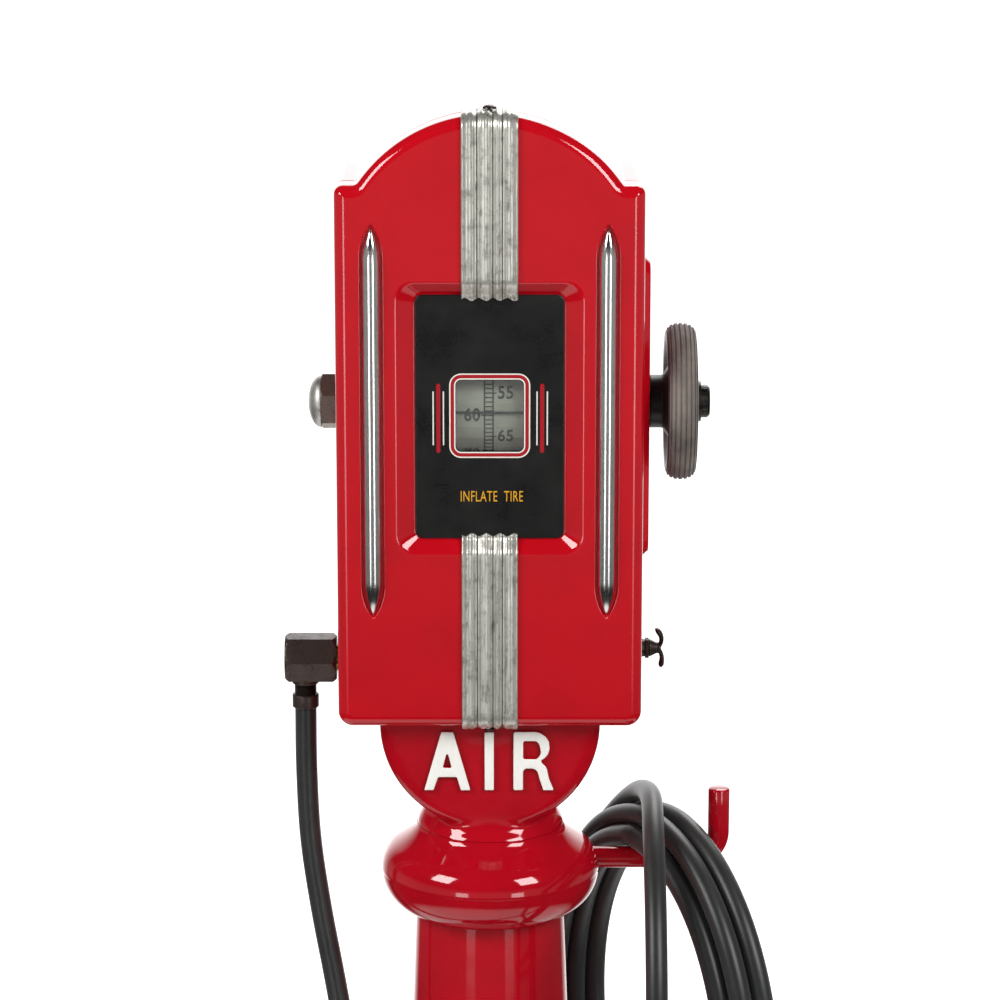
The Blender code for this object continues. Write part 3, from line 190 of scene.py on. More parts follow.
AIM = Vector((0, 0, 0.85))        # the lamps point at the column's top
for name, azimuth, elevation, distance, size, power in (
    ("softbox_left", -57, 34, 2.4, (0.84, 0.95), 32),
    ("softbox_right", 44, 34, 2.4, (0.84, 0.95), 31),
    ("softbox_back", 160, 42, 3.0, (1.4, 1.4), 30),
):
    lamp = bpy.data.lights.new(name, "AREA")
    lamp.shape = "RECTANGLE"
    lamp.size, lamp.size_y = size
    lamp.energy = power
    box = link_object(name, lamp)
    turn, rise = radians(azimuth), radians(elevation)
    toward = Vector((sin(turn) * cos(rise), -cos(turn) * cos(rise), sin(rise)))
    box.location = AIM + toward * distance
    box.rotation_euler = toward.to_track_quat("Z", "Y").to_euler()


# ---------------------------------------------------------------- pedestal base
# A cast-iron bell foot, sand cast, machined flat underneath and drilled for four floor bolts, then
# stove-enamelled red. It is the heaviest piece and carries the column on its shoulder.

BASE_R = 0.200
BASE_H = 0.100
BASE_RIM = 0.016                  # thickness of its flange
FLANGE_R = BASE_R - 0.045         # where the flange turns up into the bell
MOUTH_R = 0.050                   # the hole at its top
BOLT_R = 0.007
BOLT_CIRCLE = 0.174
COLUMN_R = (0.0825, 0.0605)       # at its foot and at its top
SMOOTH_STEPS = 128
TIP_R = 1e-7                      # a turned shape comes to a tip below this radius


def place(name, bm, finishes, body, slot, *nodes, sharp=35, weighted=False):
    """Makes bm a piece that rides on a body and stands for the CAD nodes named."""
    bmesh.ops.remove_doubles(bm, verts=bm.verts, dist=0.000001)
    bmesh.ops.recalc_face_normals(bm, faces=bm.faces)
    for face in bm.faces:
        face.smooth = True
    for edge in bm.edges:
        edge.smooth = edge.is_manifold and edge.calc_face_angle(0) < radians(sharp)
    mesh = bpy.data.meshes.new(name)
    bm.to_mesh(mesh)
    bm.free()
    piece = link_object(name, mesh)
    for finish in finishes if isinstance(finishes, list) else [finishes]:
        mesh.materials.append(finish)
    if weighted:
        normals = piece.modifiers.new("flat_faces", "WEIGHTED_NORMAL")
        normals.keep_sharp = True
        normals.weight = 100
    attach(piece, body)
    if nodes:
        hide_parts(*nodes)
    return piece


def skin(bm, rings, closed=False, material=0):
    """Faces between rings of points; a ring of one point is a tip."""
    made = [[bm.verts.new(p) for p in ring] for ring in rings]
    pairs = list(zip(made, made[1:])) + ([(made[-1], made[0])] if closed else [])
    for one, two in pairs:
        count = max(len(one), len(two))
        for k in range(count):
            n = (k + 1) % count
            corners = [one[k % len(one)], one[n % len(one)], two[n % len(two)], two[k % len(two)]]
            face = bm.faces.new(list(dict.fromkeys(corners)))
            face.material_index = material
    return made


def filleted(corners, steps=6):
    """A line through corners given as (x, y, radius), each one rounded by its radius."""
    line = []
    for i, (x, y, radius) in enumerate(corners):
        here = Vector((x, y))
        if radius == 0 or i in (0, len(corners) - 1):
            line.append((x, y))
            continue
        back = (Vector(corners[i - 1][:2]) - here).normalized()
        ahead = (Vector(corners[i + 1][:2]) - here).normalized()
        half = back.angle(ahead) / 2
        middle = here + (back + ahead).normalized() * (radius / sin(half))
        start = here + back * (radius / tan(half)) - middle
        sweep = start.angle_signed(here + ahead * (radius / tan(half)) - middle)
        for k in range(steps + 1):
            angle = -sweep * k / steps
            line.append((
                middle.x + start.x * cos(angle) - start.y * sin(angle),
                middle.y + start.x * sin(angle) + start.y * cos(angle),
            ))
    return line


def turned(profile, axis="Z", at=(0, 0, 0), steps=SMOOTH_STEPS, closed=False, into=None):
    """A turned shape from (radius, height) points, as a bmesh or into one."""
    turn = {"Z": Matrix(), "X": Matrix.Rotation(pi / 2, 4, "Y"), "Y": Matrix.Rotation(-pi / 2, 4, "X")}[axis]
    place_at = Matrix.Translation(at) @ turn
    rings = []
    for r, h in profile:
        angles = [tau * k / steps for k in range(steps if r > TIP_R else 1)]
        rings.append([place_at @ Vector((r * cos(angle), r * sin(angle), h)) for angle in angles])
    bm = into or bmesh.new()
    skin(bm, rings, closed)
    return bm


def bend_line(a, b, c, d, count):
    """Points of a smooth bend from a to d that leaves towards b and arrives from c."""
    a, b, c, d = (Vector(p) for p in (a, b, c, d))
    line = []
    for i in range(count + 1):
        t = i / count
        line.append(tuple(a * (1 - t) ** 3 + b * 3 * t * (1 - t) ** 2 + c * 3 * t * t * (1 - t) + d * t ** 3))
    return line


def finished_mesh(piece):
    """A piece's mesh as its modifiers leave it."""
    bpy.context.view_layer.update()
    return bpy.data.meshes.new_from_object(piece.evaluated_get(bpy.context.evaluated_depsgraph_get()))


def cut_away(piece, cutter_bm):
    """The mesh that is left of a piece when a closed shape is cut out of it."""
    cutter_mesh = bpy.data.meshes.new("cutter")
    cutter_bm.to_mesh(cutter_mesh)
    cutter_bm.free()
    cutter = bpy.data.objects.new("cutter", cutter_mesh)
    cut = piece.modifiers.new("cut", "BOOLEAN")
    cut.object = cutter
    cut.solver = "EXACT"
    mesh = finished_mesh(piece)
    piece.modifiers.clear()
    bpy.data.objects.remove(cutter)
    return mesh


def enamel(name, base, deep, wave, wave_depth):
    """Stove enamel: two close tones of one colour, an orange peel of 2.5 mm and the waves of the metal
    under it, in metres. Gloss paint is a clear film, so IOR 1.5 and a roughness near 0.06."""
    made, tree = bare_material(name)
    space = add(tree, "TexCoord").outputs["Object"]
    tone = add(tree, "TexNoise", {"Vector": space, "Scale": 1 / 0.045, "Detail": 3.0})
    colour = add(tree, "ValToRGB", {0: tone.outputs["Fac"]}, [(0.30, deep), (0.62, base)])
    peel = add(tree, "TexNoise", {"Vector": space, "Scale": 1 / 0.0025, "Detail": 1.0})
    waves = add(tree, "TexNoise", {"Vector": space, "Scale": 1 / wave, "Detail": 1.5})
    low = add(tree, "Bump", {"Height": waves.outputs["Fac"], "Distance": wave_depth, "Strength": 1.0})
    fine = add(tree, "Bump", {
        "Height": peel.outputs["Fac"], "Distance": 0.000008, "Strength": 1.0, "Normal": low.outputs[0],
    })
    dust = add(tree, "TexNoise", {"Vector": space, "Scale": 1 / 0.018, "Detail": 6.0, "Roughness": 0.7})
    haze = add(tree, "MapRange", {0: dust.outputs["Fac"], 1: 0.35, 2: 0.75, 3: 0.045, 4: 0.11})
    film = add(tree, "BsdfPrincipled", {
        "Base Color": colour.outputs[0], "Roughness": haze.outputs[0], "IOR": 1.5, "Specular IOR Level": 0.62,
        "Normal": fine.outputs[0],
    })
    add(tree, "OutputMaterial", {"Surface": film.outputs[0]})
    return made


# Red enamel over a sand casting: the gloss of wet paint, and the casting's waves bend what it mirrors.
cast_enamel = enamel("red_stove_enamel_on_cast_iron", "#B3091C", "#A90819", 0.030, 0.00030)

shoulder = COLUMN_R[0] + 0.0075
outside = filleted([(BASE_R, 0.0, 0), (BASE_R, BASE_RIM, 0.005), (FLANGE_R, BASE_RIM + 0.002, 0.02)])[:-1]
outside.append((FLANGE_R, BASE_RIM + 0.002))
outside += bend_line(
    (FLANGE_R, BASE_RIM + 0.002), (shoulder + 0.030, BASE_RIM + 0.006),
    (shoulder + 0.004, BASE_H - 0.045), (shoulder, BASE_H - 0.014), 24,
)[1:]
outside += filleted([(shoulder, BASE_H - 0.014, 0), (shoulder, BASE_H, 0.003), (MOUTH_R, BASE_H, 0)])[1:]
hollow = [(MOUTH_R, BASE_H - 0.010)] + bend_line(
    (COLUMN_R[0] - 0.006, BASE_H - 0.012), (COLUMN_R[0], 0.050),
    (COLUMN_R[0] + 0.025, 0.014), (BASE_R - 0.060, 0.008), 12,
) + [(BASE_R - 0.060, 0.0)]
bell = turned(outside + hollow, closed=True)
base = place("cast_foot", bell, cast_enamel, "housing", "red_enamel", "pedestal_base")
drills = bmesh.new()
for i in range(4):
    angle = radians(45 + 90 * i)
    spot = Vector((BOLT_CIRCLE * cos(angle), BOLT_CIRCLE * sin(angle), 0.01))
    bmesh.ops.create_cone(drills, cap_ends=True, segments=32, radius1=BOLT_R, radius2=BOLT_R, depth=0.06,
                          matrix=Matrix.Translation(spot))
base.data = cut_away(base, drills)


# ---------------------------------------------------------------- column
# A tapered tube of cast iron, turned on the outside before it was enamelled, so that it is smooth
# and mirrors long straight streaks.

COLUMN_TOP = 0.704
COLUMN_WALL = 0.006
SEAM = 0.0003                     # the gap between pieces that touch

# Red enamel over turned iron: the same gloss, but flat enough to mirror a straight streak.
turned_enamel = enamel("red_stove_enamel_on_turned_iron", "#B9091D", "#B0081A", 0.060, 0.00012)
foot_z, top_z = BASE_H + SEAM, COLUMN_TOP - SEAM
column = [
    (COLUMN_R[0] + (COLUMN_R[1] - COLUMN_R[0]) * t / 20, foot_z + (top_z - foot_z) * t / 20)
    for t in range(21)
]
column += [(COLUMN_R[1] - COLUMN_WALL, top_z), (COLUMN_R[0] - COLUMN_WALL, foot_z)]
place("column", turned(column, closed=True), turned_enamel, "housing", "red_enamel", "pedestal_column")


# ---------------------------------------------------------------- ring
# The swelling under the head: a cast collar with a bowl below and a hollow sweep above, its parting
# line left faintly proud at the widest place.

RING_TOP = 0.776
RING_R = 0.0885
RING_BORE_R = 0.046
BOWL_R = 0.035
NECK_R = 0.0535

widest = COLUMN_TOP + BOWL_R - 0.002
crown_r = BOWL_R - 0.010
ring = [(COLUMN_R[1] + 0.0004, COLUMN_TOP)]
for i in range(25):
    angle = radians(-78 + 78 * i / 24)
    ring.append((RING_R - BOWL_R + BOWL_R * cos(angle), widest + BOWL_R * sin(angle)))
ring.append((RING_R + 0.00025, widest + 0.0005))
for i in range(1, 17):
    angle = radians(55 * i / 16)
    ring.append((RING_R - crown_r + crown_r * cos(angle), widest + 0.001 + crown_r * sin(angle)))
last = ring[-1]
neck_foot = (NECK_R + 0.006, RING_TOP - SEAM)
ring += bend_line(last, (last[0] - 0.0082, last[1] + 0.0057), (neck_foot[0] + 0.0015, neck_foot[1] - 0.006),
                  neck_foot, 18)[1:]
ring += [(RING_BORE_R, RING_TOP - SEAM), (RING_BORE_R, COLUMN_TOP)]
place("cast_ring", turned(ring, closed=True), cast_enamel, "housing", "red_enamel", "pedestal_ring")


# ---------------------------------------------------------------- sign head
# One casting: a thick half disc that carries the case, run down into a round neck with a large
# hollow fillet, as the pattern maker left it, then enamelled.

HEAD_TOP = 0.874
HEAD_R = 0.088
HEAD_CENTRE = 0.870
HEAD_HALF_D = 0.050
HEAD_EDGE_R = 0.0085
NECK_DEPTH = 0.86                 # the neck is shallower than it is wide where it meets the disc
NECK_MELT = 0.010                 # how far the fillet between disc and neck reaches
FLARE = (0.0062, 0.016)           # how far the neck's foot spreads, and over what height


def head_distance(x, y, z):
    """How far points are outside the head, negative inside: a rounded disc melted into its neck."""
    disc = np.hypot(x, np.minimum(z - HEAD_CENTRE, 0)) - HEAD_R
    across = np.maximum(disc + HEAD_EDGE_R, 0)
    along = np.maximum(np.abs(y) - HEAD_HALF_D + HEAD_EDGE_R, 0)
    inner = np.minimum(np.maximum(disc, np.abs(y) - HEAD_HALF_D), -HEAD_EDGE_R)
    disc = np.where((across > 0) | (along > 0), np.hypot(across, along), inner + HEAD_EDGE_R) - HEAD_EDGE_R
    rise = (z - RING_TOP) / FLARE[1]
    flare = FLARE[0] * np.exp(-(rise ** 2) * 2.2)
    flat = 1 - (1 - NECK_DEPTH) * np.clip(rise * 1.1, 0, 1)
    neck = np.hypot(x, y / flat) - NECK_R - flare + 0.0006
    neck = np.maximum(neck, z - HEAD_CENTRE + 0.02)
    share = np.clip(0.5 + (neck - disc) / (2 * NECK_MELT), 0, 1)
    return neck * (1 - share) + disc * share - NECK_MELT * share * (1 - share)


def capped_skin(bm, rings):
    """A skin over rings, with a flat face over the first and the last."""
    made = skin(bm, rings)
    bm.faces.new(made[0])
    bm.faces.new(made[-1])


heights = np.concatenate([
    np.linspace(RING_TOP, 0.836, 76), np.linspace(0.838, HEAD_TOP - 0.0012, 16),
    [HEAD_TOP - 0.0006, HEAD_TOP - SEAM],
])
turns = np.linspace(0, tau, 257)[:-1]
turns = turns - 0.10 * np.sin(4 * turns)      # more points at the disc's four edges
rings = []
for z in heights:
    near, far = np.zeros(len(turns)), np.full(len(turns), 0.12)
    for _ in range(40):
        middle = (near + far) / 2
        inside = head_distance(middle * np.cos(turns), middle * np.sin(turns), z) < 0
        near, far = np.where(inside, middle, near), np.where(inside, far, middle)
    shrink = max(0.0, z - (HEAD_TOP - 0.0012)) * 0.6
    rings.append([Vector(((r - shrink) * cos(a), (r - shrink) * sin(a), z)) for r, a in zip(near, turns)])
bm = bmesh.new()
capped_skin(bm, rings)
place("sign_casting", bm, cast_enamel, "housing", "red_enamel", "sign_head", sharp=50, weighted=True)


# ---------------------------------------------------------------- sign letters
# The word is cast standing proud of the head's front and its faces are hand painted off-white; the
# sides keep the red. The painter's edge wanders a little.

LETTER_Z = (0.8176, 0.8662)
LETTER_PROUD = 0.0026
LETTER_ROUND = 0.0009             # how far the letters' edges are rounded over
WANDER = (0.00022, 220)           # how far the painted edge strays, and how often, in each metre


def letter_paint():
    """Brushed signwriter's enamel: off-white, satin, with faint brush drag 1.2 mm apart."""
    made, tree = bare_material("brushed_white_sign_paint")
    space = add(tree, "TexCoord").outputs["Object"]
    drag = add(tree, "Mapping", {"Vector": space, "Scale": (1.0, 1.0, 0.12)})
    brush = add(tree, "TexNoise", {"Vector": drag.outputs[0], "Scale": 1 / 0.0012, "Detail": 3.0})
    tone = add(tree, "ValToRGB", {0: brush.outputs["Fac"]}, [(0.3, "#F2F1EB"), (0.6, "#F7F6F1")])
    bump = add(tree, "Bump", {"Height": brush.outputs["Fac"], "Distance": 0.00001, "Strength": 1.0})
    film = add(tree, "BsdfPrincipled", {
        "Base Color": tone.outputs[0], "Roughness": 0.32, "IOR": 1.5, "Normal": bump.outputs[0],
    })
    add(tree, "OutputMaterial", {"Surface": film.outputs[0]})
    return made


def arc_points(centre, radius, start, end, count):
    """Points of an arc round a centre, between two angles in degrees."""
    angles = [radians(start + (end - start) * i / count) for i in range(count + 1)]
    return [(centre[0] + radius * cos(angle), centre[1] + radius * sin(angle)) for angle in angles]


def shape_of(name, curve, merge):
    """The bmesh of a filled curve or a line of type, with points nearer than merge made one."""
    holder = link_object(name, curve)
    mesh = finished_mesh(holder)
    bpy.data.objects.remove(holder)
    bm = bmesh.new()
    bm.from_mesh(mesh)
    bpy.data.meshes.remove(mesh)
    bmesh.ops.remove_doubles(bm, verts=bm.verts, dist=merge)
    return bm


def raised_shape(name, outlines, depth, bevel):
    """A flat shape with holes, raised and rounded at its edges, facing the front at the origin."""
    curve = bpy.data.curves.new(name, "CURVE")
    curve.dimensions = "2D"
    curve.fill_mode = "BOTH"
    curve.extrude = depth / 2
    curve.bevel_depth = bevel
    curve.bevel_resolution = 3
    curve.offset = -bevel
    for outline in outlines:
        spline = curve.splines.new("POLY")
        spline.points.add(len(outline) - 1)
        for point, (x, z) in zip(spline.points, outline):
            point.co = (x, z, 0, 1)
        spline.use_cyclic_u = True
    return shape_of(name + "_curve", curve, 0.00001)


# Each letter is its outline as (x, z, corner radius), then the outline of its hole if it has one.
low, high = LETTER_Z
letter_a = [
    filleted([(-0.0500, low, 0), (-0.0526, low, 0.0008), (-0.0388, high, 0.0012), (-0.0293, high, 0.0012),
              (-0.0154, low, 0.0008), (-0.0232, low, 0.0010), (-0.0265, low + 0.0110, 0.0015),
              (-0.0415, low + 0.0110, 0.0015), (-0.0450, low, 0.0010), (-0.0500, low, 0)])[1:-1],
    filleted([(-0.0341, low + 0.0190, 0), (-0.0374, low + 0.0190, 0.0009), (-0.0341, low + 0.0325, 0.0008),
              (-0.0308, low + 0.0190, 0.0009), (-0.0341, low + 0.0190, 0)])[1:-1],
]
letter_i = [
    filleted([(-0.0006, low, 0), (-0.0045, low, 0.0012), (-0.0045, high, 0.0012), (0.0033, high, 0.0012),
              (0.0033, low, 0.0012), (-0.0006, low, 0)])[1:-1],
]
bowl_z = high - 0.0125
letter_r = [
    [(0.0198, low), (0.0186, low + 0.0012), (0.0186, high - 0.0012), (0.0198, high)]
    + arc_points((0.0352, bowl_z), 0.0125, 90, -62, 16)
    + filleted([(0.0410, low + 0.0232, 0), (0.0452, low + 0.0190, 0.004), (0.0470, low + 0.0100, 0.004),
                (0.0512, low, 0.0010), (0.0425, low, 0.0010), (0.0395, low + 0.0095, 0.003),
                (0.0372, low + 0.0180, 0.0055), (0.0264, low + 0.0180, 0.0030), (0.0264, low, 0.0012),
                (0.0198, low, 0)]),
    filleted([(0.0290, low + 0.0262, 0), (0.0266, low + 0.0262, 0.0015), (0.0266, high - 0.0078, 0.0015),
              (0.0390, high - 0.0078, 0.0050), (0.0405, low + 0.0310, 0.0040), (0.0380, low + 0.0262, 0.0030),
              (0.0290, low + 0.0262, 0)])[1:-1],
]
white_paint = letter_paint()
for name, outlines in (("sign_letter_1", letter_a), ("sign_letter_2", letter_i), ("sign_letter_3", letter_r)):
    bm = raised_shape(name, outlines, LETTER_PROUD * 2, LETTER_ROUND)
    upright = Matrix.Translation((0, -HEAD_HALF_D, 0)) @ Matrix.Rotation(pi / 2, 4, "X")
    bmesh.ops.transform(bm, matrix=upright, verts=bm.verts)
    for vert in bm.verts:
        vert.co.x += WANDER[0] * noise.noise(vert.co * WANDER[1])
        vert.co.z += WANDER[0] * noise.noise(vert.co * WANDER[1] + Vector((9, 0, 0)))
    bmesh.ops.recalc_face_normals(bm, faces=bm.faces)
    for face in bm.faces:
        face.material_index = 0 if face.normal.y < -0.55 else 1
    place(name, bm, [white_paint, cast_enamel], "housing", "red_enamel", sharp=60)


# ---------------------------------------------------------------- hose hook
# A length of 17.5 mm round iron bar, bent up cold at its end so that the hose can't slip off, driven
# into a hole in the ring and enamelled with it.

HOOK_FOOT_X = 0.052
HOOK_Z = 0.744
HOOK_R = 0.00875
HOOK_X = 0.186
HOOK_BEND_R = 0.022
HOOK_TIP = 0.803
HOOK_STEP = 0.006                 # how far apart the points of its straight run are


def tube(name, line, radius, finish, body, slot, *nodes, sides=24, sharp=50):
    """A round bar or hose along a line, with a UV map in metres: along it, and round it. radius may
    be a number or one for each point."""
    points = [Vector(p) for p in line]
    radii = list(radius) if hasattr(radius, "__len__") else [radius] * len(points)
    bm = bmesh.new()
    uv = bm.loops.layers.uv.new("UVMap")
    rings, runs, run, normal = [], [], 0.0, None
    for i, p in enumerate(points):
        ahead = (points[min(i + 1, len(points) - 1)] - points[max(i - 1, 0)]).normalized()
        normal = ahead.orthogonal() if normal is None else normal - ahead * normal.dot(ahead)
        normal.normalize()
        side = ahead.cross(normal)
        angles = [tau * k / sides for k in range(sides)]
        ring = [p + (normal * cos(angle) + side * sin(angle)) * radii[i] for angle in angles]
        rings.append([bm.verts.new(point) for point in ring])
        runs.append(run)
        run += (points[min(i + 1, len(points) - 1)] - p).length
    around = tau * max(radii)
    for i in range(len(rings) - 1):
        for k in range(sides):
            n = (k + 1) % sides
            face = bm.faces.new((rings[i][k], rings[i][n], rings[i + 1][n], rings[i + 1][k]))
            corners = ((runs[i], k), (runs[i], k + 1), (runs[i + 1], k + 1), (runs[i + 1], k))
            for loop, (along, part) in zip(face.loops, corners):
                loop[uv].uv = (along, around * part / sides)
    bm.faces.new(rings[0])
    bm.faces.new(rings[-1])
    return place(name, bm, finish, body, slot, *nodes, sharp=sharp)


straight = int((HOOK_X - HOOK_BEND_R - HOOK_FOOT_X) / HOOK_STEP) + 1
hook = [(HOOK_FOOT_X + HOOK_STEP * i, 0, HOOK_Z) for i in range(straight)]
for i in range(13):
    angle = radians(-90 + 90 * i / 12)
    hook.append((HOOK_X - HOOK_BEND_R + HOOK_BEND_R * cos(angle), 0, HOOK_Z + HOOK_BEND_R * (1 + sin(angle))))
hook += [(HOOK_X, 0, z) for z in (0.778, 0.790)]
hook += [(HOOK_X, 0, HOOK_TIP - down) for down in (0.0016, 0.0012, 0.0005, 0)]
girth = [HOOK_R] * (len(hook) - 3) + [HOOK_R - 0.0001, HOOK_R - 0.0005, HOOK_R - 0.0016]
tube("hook_bar", hook, girth, cast_enamel, "housing", "red_enamel", "hose_hook", sides=48)


# ---------------------------------------------------------------- riser pipe and its nuts
# Galvanised iron pipe up the middle of the column, which draws the base, column, ring and head
# together between two hexagon nuts.


def metal(name, light, dark, rough, grain, grain_depth, stretch=(1, 1, 1), metallic=1.0):
    """A metal surface: two tones in patches of 12 mm, and a grain in metres, stretched the way its tool
    marks run. Real tool marks are finer than 0.3 mm, so the grain is drawn as coarse as it needs to show."""
    made, tree = bare_material(name)
    space = add(tree, "TexCoord").outputs["Object"]
    laid = add(tree, "Mapping", {"Vector": space, "Scale": stretch})
    patch = add(tree, "TexNoise", {"Vector": space, "Scale": 1 / 0.012, "Detail": 5.0, "Roughness": 0.65})
    fine = add(tree, "TexNoise", {"Vector": laid.outputs[0], "Scale": 1 / grain, "Detail": 3.0})
    both = add(tree, "Mix", {0: 0.45, 2: patch.outputs["Fac"], 3: fine.outputs["Fac"]}, data_type="FLOAT")
    tone = add(tree, "ValToRGB", {0: both.outputs[0]}, [(0.36, dark), (0.50, light)])
    worn = add(tree, "MapRange", {0: both.outputs[0], 1: 0.35, 2: 0.65, 3: rough * 1.25, 4: rough * 0.8})
    bump = add(tree, "Bump", {"Height": fine.outputs["Fac"], "Distance": grain_depth, "Strength": 1.0})
    film = add(tree, "BsdfPrincipled", {
        "Base Color": tone.outputs[0], "Metallic": metallic, "Roughness": worn.outputs[0],
        "Normal": bump.outputs[0],
    })
    add(tree, "OutputMaterial", {"Surface": film.outputs[0]})
    return made


def refinish(finish, *nodes):
    """Gives CAD nodes whose shape is right their real surface."""
    for node in nodes:
        mesh = frame["nodes"][node].data
        mesh.materials.clear()
        mesh.materials.append(finish)


# Hot-dipped zinc: pale grey and soft, with its spangle in dull patches.
galvanised = metal("galvanised_pipe", "#A9ADAD", "#83888A", 0.42, 0.006, 0.00003)
# Turned and zinc plated: brighter, with fine rings from the tool.
plated = metal("zinc_plated_steel_turned", "#B5B4AE", "#8C8A84", 0.30, 0.0012, 0.00001)
refinish(galvanised, "riser_pipe")
refinish(plated, "riser_top_nut", "riser_lower_nut")


# ---------------------------------------------------------------- rear case
# The back half of the head: steel sheet drawn to a tray with rounded corners, shouldered below its
# arched top, with a stout pad brazed on the right wall to carry the control shaft. Gloss red enamel.

CASE_Z = HEAD_TOP
CASE_W, CASE_D, CASE_H = 0.240, 0.140, 0.487
SIDE = CASE_W / 2
FRONT, BACK = -CASE_D / 2, CASE_D / 2
ARCH_R = 0.1235
ARCH_Z = CASE_Z + CASE_H - ARCH_R
SHOULDER_Z = CASE_Z + 0.432
CORNER_R, SHOULDER_R, FILLET_R = 0.012, 0.007, 0.006
EDGE_R = 0.010                    # the roll from the face to the sides
WALL = 0.0045
LIP = FRONT + 0.033               # where the two halves meet
LIP_IN = 0.004                    # how far the walls' inner corner is drawn in
LIP_BREAK = (0.0002, 0.0008)      # the rim's broken edge
GASKET_T = 0.0008
AXIS_Z = CASE_Z + 0.250           # the control shaft's height
PAD_X = SIDE + 0.0055
PAD_HALF = (0.035, 0.117)
PAD_CORNER_R = 0.012


def case_outline(inset=0.0):
    """The case seen from the front, as (x, z), with every edge moved in by inset."""
    corner = max(CORNER_R - inset, 0.0005)
    shoulder = max(SHOULDER_R - inset, 0.0005)
    fillet_z = SHOULDER_Z + FILLET_R
    fillet_x = sqrt((ARCH_R + FILLET_R) ** 2 - (fillet_z - ARCH_Z) ** 2)
    lean = degrees(atan2(fillet_z - ARCH_Z, fillet_x))
    side = SIDE - inset
    half = arc_points((side - corner, CASE_Z + inset + corner), corner, -90, 0, 10)
    half += arc_points((side - shoulder, SHOULDER_Z - inset - shoulder), shoulder, 0, 90, 8)
    half += arc_points((fillet_x, fillet_z), FILLET_R + inset, 270, 180 + lean, 8)
    arch = arc_points((0, ARCH_Z), ARCH_R - inset, lean, 180 - lean, 72)
    return half + arch[1:-1] + [(-x, z) for x, z in reversed(half)]


def layer(y, outline):
    """An outline given as (x, z), stood up at depth y."""
    return [Vector((x, y, z)) for x, z in outline]


def fill_between(bm, loops):
    """Fills a flat region whose outer edge and holes are the given loops of vertices."""
    edges = []
    for loop in loops:
        for a, b in zip(loop, loop[1:] + loop[:1]):
            edges.append(bm.edges.get((a, b)) or bm.edges.new((a, b)))
    bmesh.ops.triangle_fill(bm, edges=edges, use_beauty=True)


# Red enamel over pressed sheet: the smoothest of the reds, with only the slow waves of the sheet.
pressed_enamel = enamel("red_stove_enamel_on_pressed_steel", "#BC0919", "#B40817", 0.080, 0.00006)
seam = LIP + GASKET_T / 2 + SEAM
rings = [
    layer(BACK - WALL, case_outline(WALL + LIP_IN)), layer(seam + 0.0006, case_outline(WALL)),
    layer(seam, case_outline(WALL - 0.0004)), layer(seam, case_outline(LIP_BREAK[1])),
    layer(seam + 0.0003, case_outline(LIP_BREAK[0])), layer(seam + 0.0010, case_outline()),
]
for i in range(13):
    angle = radians(90 * i / 12)
    rings.append(layer(BACK - EDGE_R * (1 - sin(angle)), case_outline(EDGE_R * (1 - cos(angle)))))
bm = bmesh.new()
made = skin(bm, rings)
fill_between(bm, [made[0]])
fill_between(bm, [made[-1]])
place("case_back", bm, pressed_enamel, "housing", "red_enamel", "rear_case", sharp=40, weighted=True)


def rounded_rectangle(half, radius, centre=(0, 0), steps=8):
    """A closed outline, anticlockwise from its lower right corner."""
    points = []
    for turn, (sx, sz) in enumerate(((1, -1), (1, 1), (-1, 1), (-1, -1))):
        middle = (centre[0] + sx * (half[0] - radius), centre[1] + sz * (half[1] - radius))
        points += arc_points(middle, radius, -90 + 90 * turn, 90 * turn, steps)
    return points


pad_edge = filleted([
    (SIDE - 0.002, 0.0045, 0), (SIDE + 0.0002, 0.0042, 0.002), (PAD_X - 0.0012, 0.0002, 0.002),
    (PAD_X, -0.0006, 0.0012), (PAD_X, -0.0080, 0),
])
rings = []
for out, grow in pad_edge:
    half = (PAD_HALF[0] + grow, PAD_HALF[1] + grow)
    outline = rounded_rectangle(half, PAD_CORNER_R + max(grow, -0.004), (0, AXIS_Z))
    rings.append([Vector((out, y, z)) for y, z in outline])
bm = bmesh.new()
made = skin(bm, rings)
fill_between(bm, [made[0]])
fill_between(bm, [made[-1]])
place("wall_pad", bm, pressed_enamel, "housing", "red_enamel", sharp=50, weighted=True)


# ---------------------------------------------------------------- gasket
# Black sheet rubber 0.8 mm thick, cut to the rim and squeezed between the two halves of the case,
# where it keeps the rain out and shows as a thin dark line.


def rubber(name, light, dark, rough, grain, depth):
    """Moulded rubber: near black, dull, with a bloom in patches of 35 mm and the mould's texture, which
    is really near 0.2 mm and is drawn coarser so that it shows."""
    made, tree = bare_material(name)
    space = add(tree, "TexCoord").outputs["Object"]
    bloom = add(tree, "TexNoise", {"Vector": space, "Scale": 1 / 0.035, "Detail": 5.0, "Roughness": 0.6})
    fine = add(tree, "TexNoise", {"Vector": space, "Scale": 1 / grain, "Detail": 2.0})
    tone = add(tree, "ValToRGB", {0: bloom.outputs["Fac"]}, [(0.36, dark), (0.66, light)])
    bump = add(tree, "Bump", {"Height": fine.outputs["Fac"], "Distance": depth, "Strength": 1.0})
    film = add(tree, "BsdfPrincipled", {
        "Base Color": tone.outputs[0], "Roughness": rough, "IOR": 1.52, "Sheen Weight": 0.15,
        "Sheen Roughness": 0.6, "Normal": bump.outputs[0],
    })
    add(tree, "OutputMaterial", {"Surface": film.outputs[0]})
    return made


